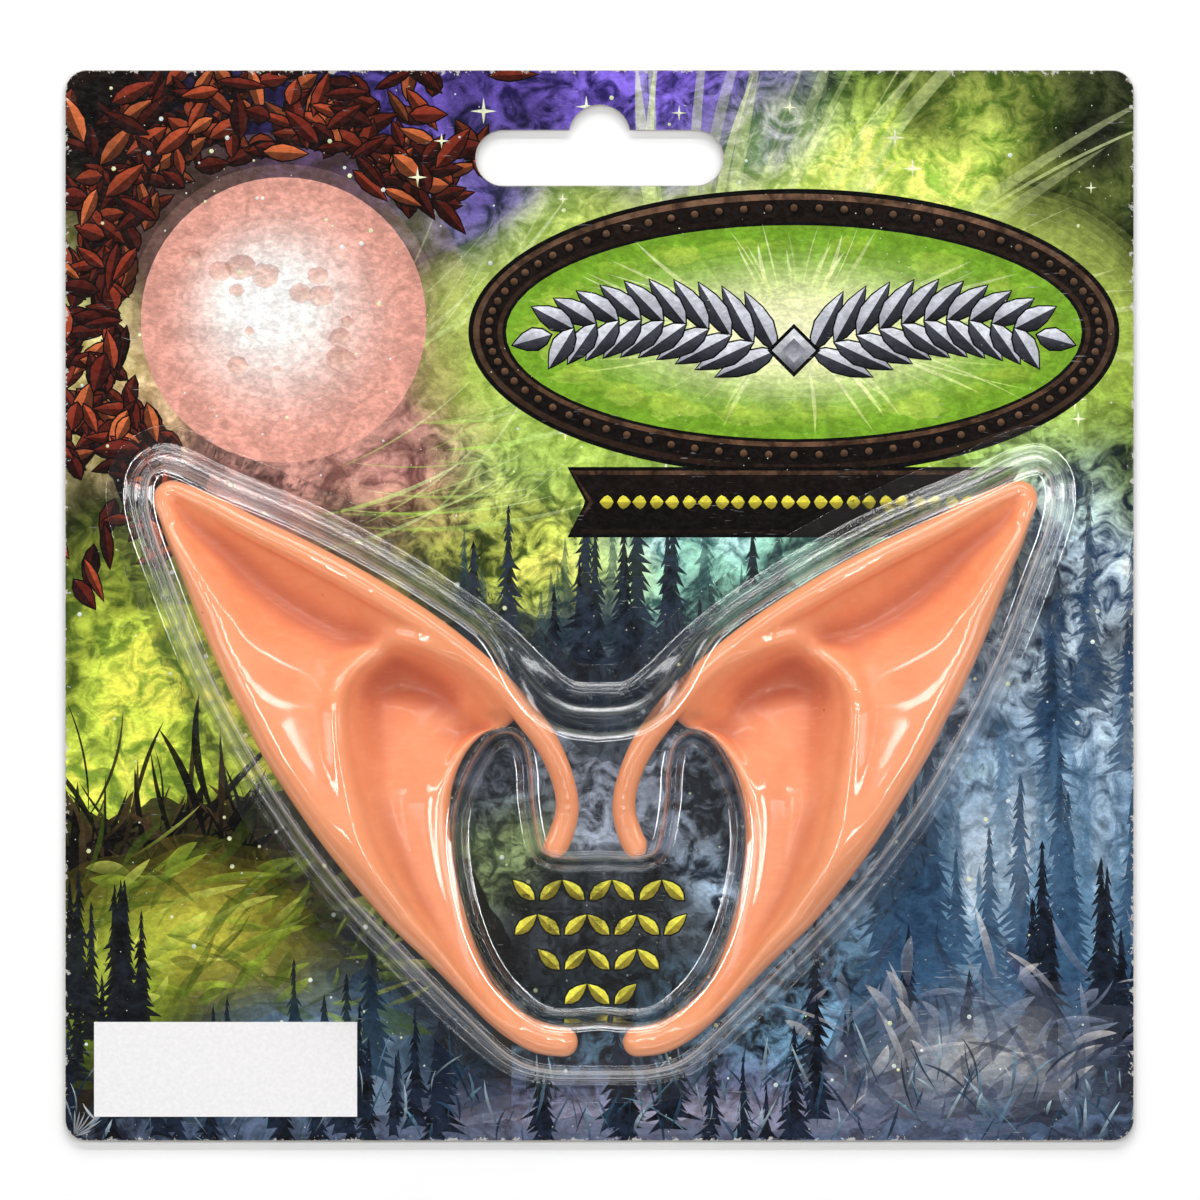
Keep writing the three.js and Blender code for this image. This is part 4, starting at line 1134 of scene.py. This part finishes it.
def opaque_layers(cover, shapes):
    """Shapes seen on a face down to the one that hides the rest, or nothing where the ground shows."""
    layers = []
    for layer in sorted(cover, reverse=True):
        if layer > 1:
            layers.append(layer)
            if shapes[layer - 2]["veil"] < THIN_VEIL:
                return tuple(layers)
    return None


def join_faces(card, shown):
    """Joins front faces that show the same shapes, as outlines of hidden ones are of no use there."""
    sheet = bmesh.new()
    sheet.from_mesh(card.data)
    joined = []
    for edge in sheet.edges:
        pair = [face.index for face in edge.link_faces]
        if len(pair) == 2 and max(pair) < len(shown):
            first, second = (shown[i] for i in pair)
            if first and first == second:
                joined.append(edge)
    bmesh.ops.dissolve_limit(sheet, angle_limit=JOIN_ANGLE, verts=[], edges=joined)
    straight = [v for v in sheet.verts if len(v.link_edges) == 2 and v.calc_edge_angle() < JOIN_ANGLE]
    bmesh.ops.dissolve_verts(sheet, verts=straight)
    sheet.to_mesh(card.data)
    sheet.free()


def closed_chains(edges):
    """Closed rows of points from the edges of a boundary."""
    after = dict(edges)
    chains = []
    while after:
        at = next(iter(after))
        chain = []
        while at in after:
            chain.append(at)
            at = after.pop(at)
        chains.append(chain)
    return chains


def boundary_edges(faces):
    """Edges that only one face has, in that face's direction."""
    seen = {}
    for face in faces:
        for a, b in zip(face, face[1:] + face[:1]):
            seen[(a, b)] = True
    return [(a, b) for a, b in seen if (b, a) not in seen]


def loop_normals(corners, edges):
    """Direction out of the sheet at each point of its boundary."""
    total = {}
    for a, b in edges:
        along = corners[b] - corners[a]
        out = np.array((along[1], -along[0])) / np.linalg.norm(along)
        for v in (a, b):
            total[v] = total.get(v, 0) + out
    return {v: out / np.linalg.norm(out) for v, out in total.items()}


# Materials

class Maker:
    """Writes the nodes of one material."""

    def __init__(self, name):
        self.material = bpy.data.materials.new(name)
        self.material.use_nodes = True
        self.tree = self.material.node_tree
        self.tree.nodes.clear()
        self.output = self.tree.nodes.new("ShaderNodeOutputMaterial")

    def put(self, socket, value):
        if isinstance(value, bpy.types.NodeSocket):
            self.tree.links.new(value, socket)
        else:
            socket.default_value = value

    def node(self, kind, inputs, **settings):
        made = self.tree.nodes.new(kind)
        for name, value in settings.items():
            setattr(made, name, value)
        for name, value in inputs.items():
            self.put(made.inputs[name], value)
        return made

    def place(self):
        """Object coordinates in millimetres."""
        made = self.node("ShaderNodeTexCoord", {})
        scaled = self.node("ShaderNodeVectorMath", {0: made.outputs["Object"], 1: (1 / MM,) * 3},
                           operation="MULTIPLY")
        return scaled.outputs[0]

    def stretched(self, place, factors, turn=0.0):
        """Coordinates turned about the card's normal and scaled along each axis."""
        made = self.node("ShaderNodeMapping", {"Vector": place, "Rotation": (0, 0, turn), "Scale": factors})
        return made.outputs[0]

    def noise(self, place, scale, detail=4.0, rough=0.5, distortion=0.0):
        made = self.node("ShaderNodeTexNoise", {
            "Vector": place, "Scale": scale, "Detail": detail, "Roughness": rough, "Distortion": distortion,
        })
        return made.outputs["Fac"]

    def dots(self, place, scale):
        made = self.node("ShaderNodeTexVoronoi", {"Vector": place, "Scale": scale})
        return made.outputs["Distance"]

    def math(self, operation, a, b=0.0):
        return self.node("ShaderNodeMath", {0: a, 1: b}, operation=operation).outputs[0]

    def span(self, value, low, high, to_low=0.0, to_high=1.0):
        """Smooth step of a value between two limits."""
        made = self.node("ShaderNodeMapRange", {
            "Value": value, "From Min": low, "From Max": high, "To Min": to_low, "To Max": to_high,
        }, interpolation_type="SMOOTHSTEP")
        return made.outputs[0]

    def mix(self, share, a, b, blend="MIX"):
        made = self.node("ShaderNodeMix", {0: share, 6: a, 7: b}, data_type="RGBA", blend_type=blend)
        return made.outputs[2]

    def scale(self, colour, factor):
        made = self.node("ShaderNodeVectorMath", {0: colour, "Scale": factor}, operation="SCALE")
        return made.outputs[0]

    def tone(self, code):
        return (*ink(code), 1)

    def bump(self, height, strength, distance, normal=None):
        inputs = {"Height": height, "Strength": strength, "Distance": distance * MM}
        if normal is not None:
            inputs["Normal"] = normal
        return self.node("ShaderNodeBump", inputs).outputs[0]

    def show(self, shader):
        self.tree.links.new(shader.outputs[0], self.output.inputs["Surface"])
        return self.material


def latex_material():
    m = Maker("latex")
    place = m.place()
    hollow = m.node("ShaderNodeAttribute", {}, attribute_name="hollow").outputs["Fac"]
    cloudy = m.noise(place, 0.22, 3, 0.6, 0.6)
    colour = m.mix(m.span(cloudy, 0.3, 0.7), m.tone("faa272"), m.tone("f59764"))
    # Painted shade: the latex turns a darker, deeper orange in its hollows.
    colour = m.mix(m.span(hollow, 0.5, 0.84, 0, 0.82), colour, m.tone("cb6843"))
    # Painted light: convex crests, rims and hooks are lightened towards a paler peach.
    colour = m.mix(m.span(hollow, 0.48, 0.2, 0, 0.6), colour, m.tone("ffa873"))
    streaks = m.noise(m.stretched(place, (0.25, 1.9, 1), 0.9), 0.9, 3, 0.6)
    colour = m.mix(m.span(streaks, 0.5, 0.8, 0, 0.2), colour, m.tone("ffc09c"))
    speck = m.span(m.dots(place, 0.11), 0.012, 0.03, 1, 0)
    colour = m.mix(m.math("MULTIPLY", speck, 0.75), colour, m.tone("7a3a20"))
    fine = m.noise(place, 1.9, 2, 0.6)
    height = m.math("ADD", m.math("MULTIPLY", cloudy, 0.7), m.math("MULTIPLY", fine, 0.1))
    return m.show(m.node("ShaderNodeBsdfPrincipled", {
        "Base Color": colour,
        "Roughness": m.span(fine, 0.3, 0.75, 0.34, 0.46),
        "Subsurface Weight": 0.3,
        "Subsurface Radius": (1.0, 0.42, 0.22),
        "Subsurface Scale": 0.9 * MM,
        "Specular IOR Level": 0.3,
        "Coat Weight": m.span(hollow, 0.39, 0.5, 0.85, 0.08),
        "Coat Roughness": 0.07,
        "Coat IOR": 1.7,
        "Normal": m.bump(height, 0.35, 0.35),
    }))


def clear_material():
    m = Maker("clear_plastic")
    place = m.place()
    normal = m.bump(m.noise(place, 0.06, 1, 0.5), 0.12, 1.2)
    # Steep walls let through a darker, bluer colour: partly the longer path through the sheet, partly painted
    # shade for the darkening that refraction gives there.
    steep_shade = m.node("ShaderNodeLayerWeight", {"Blend": 0.5, "Normal": normal}).outputs["Facing"]
    through = m.mix(m.span(steep_shade, 0.55, 1.0), (0.998, 0.999, 1, 1), (0.7, 0.75, 0.8, 1))
    clear = m.node("ShaderNodeBsdfTransparent", {"Color": through})
    gloss = m.node("ShaderNodeBsdfGlossy", {"Color": (1, 1, 1, 1), "Roughness": 0.045, "Normal": normal})
    share = m.node("ShaderNodeFresnel", {"IOR": 1.5, "Normal": normal}).outputs[0]
    lit = m.node("ShaderNodeLightPath", {}).outputs["Is Shadow Ray"]
    share = m.math("MINIMUM", m.math("MULTIPLY", share, 1.8), 0.42)
    share = m.math("MULTIPLY", share, m.math("SUBTRACT", 1.0, lit))
    made = m.node("ShaderNodeMixShader", {0: share, 1: clear.outputs[0], 2: gloss.outputs[0]})
    return m.show(made)


def distance_in(m, place, width, height, corner):
    """Distance of a point inside a rounded box from its edge, in millimetres."""
    split = m.node("ShaderNodeSeparateXYZ", {0: place})
    parts = []
    for axis, size in ((0, width), (1, height)):
        away = m.math("SUBTRACT", m.math("ABSOLUTE", split.outputs[axis]), size / 2 - corner)
        parts.append(m.math("MAXIMUM", away, 0.0))
    squares = m.math("ADD", m.math("MULTIPLY", parts[0], parts[0]), m.math("MULTIPLY", parts[1], parts[1]))
    return m.math("SUBTRACT", corner, m.math("SQRT", squares))


def card_material():
    m = Maker("printed_card")
    place = m.place()
    first = m.node("ShaderNodeVertexColor", {}, layer_name="ink_a").outputs["Color"]
    second = m.node("ShaderNodeVertexColor", {}, layer_name="ink_b").outputs["Color"]
    strokes = m.noise(place, 0.2, 5, 0.62, 1.2)
    colour = m.mix(m.span(strokes, 0.36, 0.64), first, second)
    fine = m.noise(m.stretched(place, (0.8, 1.3, 1), 0.6), 1.1, 3, 0.65, 0.6)
    colour = m.scale(colour, m.span(fine, 0.3, 0.72, 0.8, 1.18))
    patches = m.noise(place, 0.07, 1)
    stars = m.math("MULTIPLY", m.span(m.dots(place, 0.62), 0.03, 0.09, 1, 0), m.span(patches, 0.5, 0.6))
    colour = m.mix(m.math("MULTIPLY", stars, 0.8), colour, m.tone("eef2d8"))
    scuff = m.noise(m.stretched(place, (0.25, 3.2, 1), 0.7), 1.1, 2, 0.6, 0.3)
    scuff = m.math("MULTIPLY", m.span(scuff, 0.68, 0.74, 0, 0.4), m.span(patches, 0.5, 0.4))
    colour = m.mix(scuff, colour, m.tone("c4c8cc"))
    inside = distance_in(m, place, CARD_WIDTH, CARD_HEIGHT, CARD_CORNER)
    ragged = m.math("MULTIPLY", m.span(m.noise(place, 0.8, 3, 0.75), 0.48, 0.75), 1.2)
    worn = m.span(m.math("SUBTRACT", inside, ragged), -0.25, 0.12, 1, 0)
    colour = m.mix(m.math("MULTIPLY", worn, 0.75), colour, m.tone("cfccc6"))
    height = m.math("ADD", m.math("MULTIPLY", fine, 0.05), patches)
    return m.show(m.node("ShaderNodeBsdfPrincipled", {
        "Base Color": colour,
        "Roughness": m.span(fine, 0.3, 0.7, 0.1, 0.18),
        "Specular IOR Level": 0.35,
        "Normal": m.bump(height, 0.3, 0.25),
    }))


def label_material():
    m = Maker("label_paper")
    place = m.place()
    middle = (CARD_WIDTH / 2 - LABEL_FROM_LEFT - LABEL_WIDTH / 2,
              CARD_HEIGHT / 2 - LABEL_FROM_BOTTOM - LABEL_HEIGHT / 2, 0)
    local = m.node("ShaderNodeVectorMath", {0: place, 1: middle}, operation="ADD").outputs[0]
    inside = distance_in(m, local, LABEL_WIDTH, LABEL_HEIGHT, 0.05)
    fibre = m.noise(place, 1.4, 6, 0.7)
    colour = m.mix(m.span(fibre, 0.35, 0.7), m.tone("e9e8e9"), m.tone("f3f2f2"))
    line = m.math("MULTIPLY", m.span(inside, 0.3, 0.36), m.span(inside, 0.5, 0.56, 1, 0))
    colour = m.mix(m.math("MULTIPLY", line, 0.5), colour, m.tone("ffffff"))
    return m.show(m.node("ShaderNodeBsdfPrincipled", {
        "Base Color": colour,
        "Roughness": m.span(fibre, 0.3, 0.7, 0.5, 0.62),
        "Specular IOR Level": 0.3,
        "Normal": m.bump(fibre, 0.15, 0.05),
    }))


def floor_material():
    m = Maker("studio_floor")
    grain = m.noise(m.place(), 0.02, 3)
    colour = m.mix(m.span(grain, 0.3, 0.7), m.tone("fafafa"), m.tone("ffffff"))
    return m.show(m.node("ShaderNodeBsdfPrincipled", {
        "Base Color": colour, "Roughness": 0.8, "Specular IOR Level": 0.1,
    }))


def make_floor():
    half = FLOOR_HALF
    points = [(x, y, -FLOOR_DROP) for x, y in ((-half, -half), (half, -half), (half, half), (-half, half))]
    floor = mesh_object("floor", points, [(0, 1, 2, 3)])
    floor.data.materials.append(floor_material())


make_camera()
make_light()
make_floor()
make_card(card_material())
latex = latex_material()
make_ear("ear_left", -1, LEFT_HOOK_FROM_MIDDLE, 0, latex)
make_ear("ear_right", 1, RIGHT_HOOK_FROM_MIDDLE, RIGHT_LOBE_SWING, latex)
make_blister(clear_material())
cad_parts["label"].material_slots[0].material = label_material()
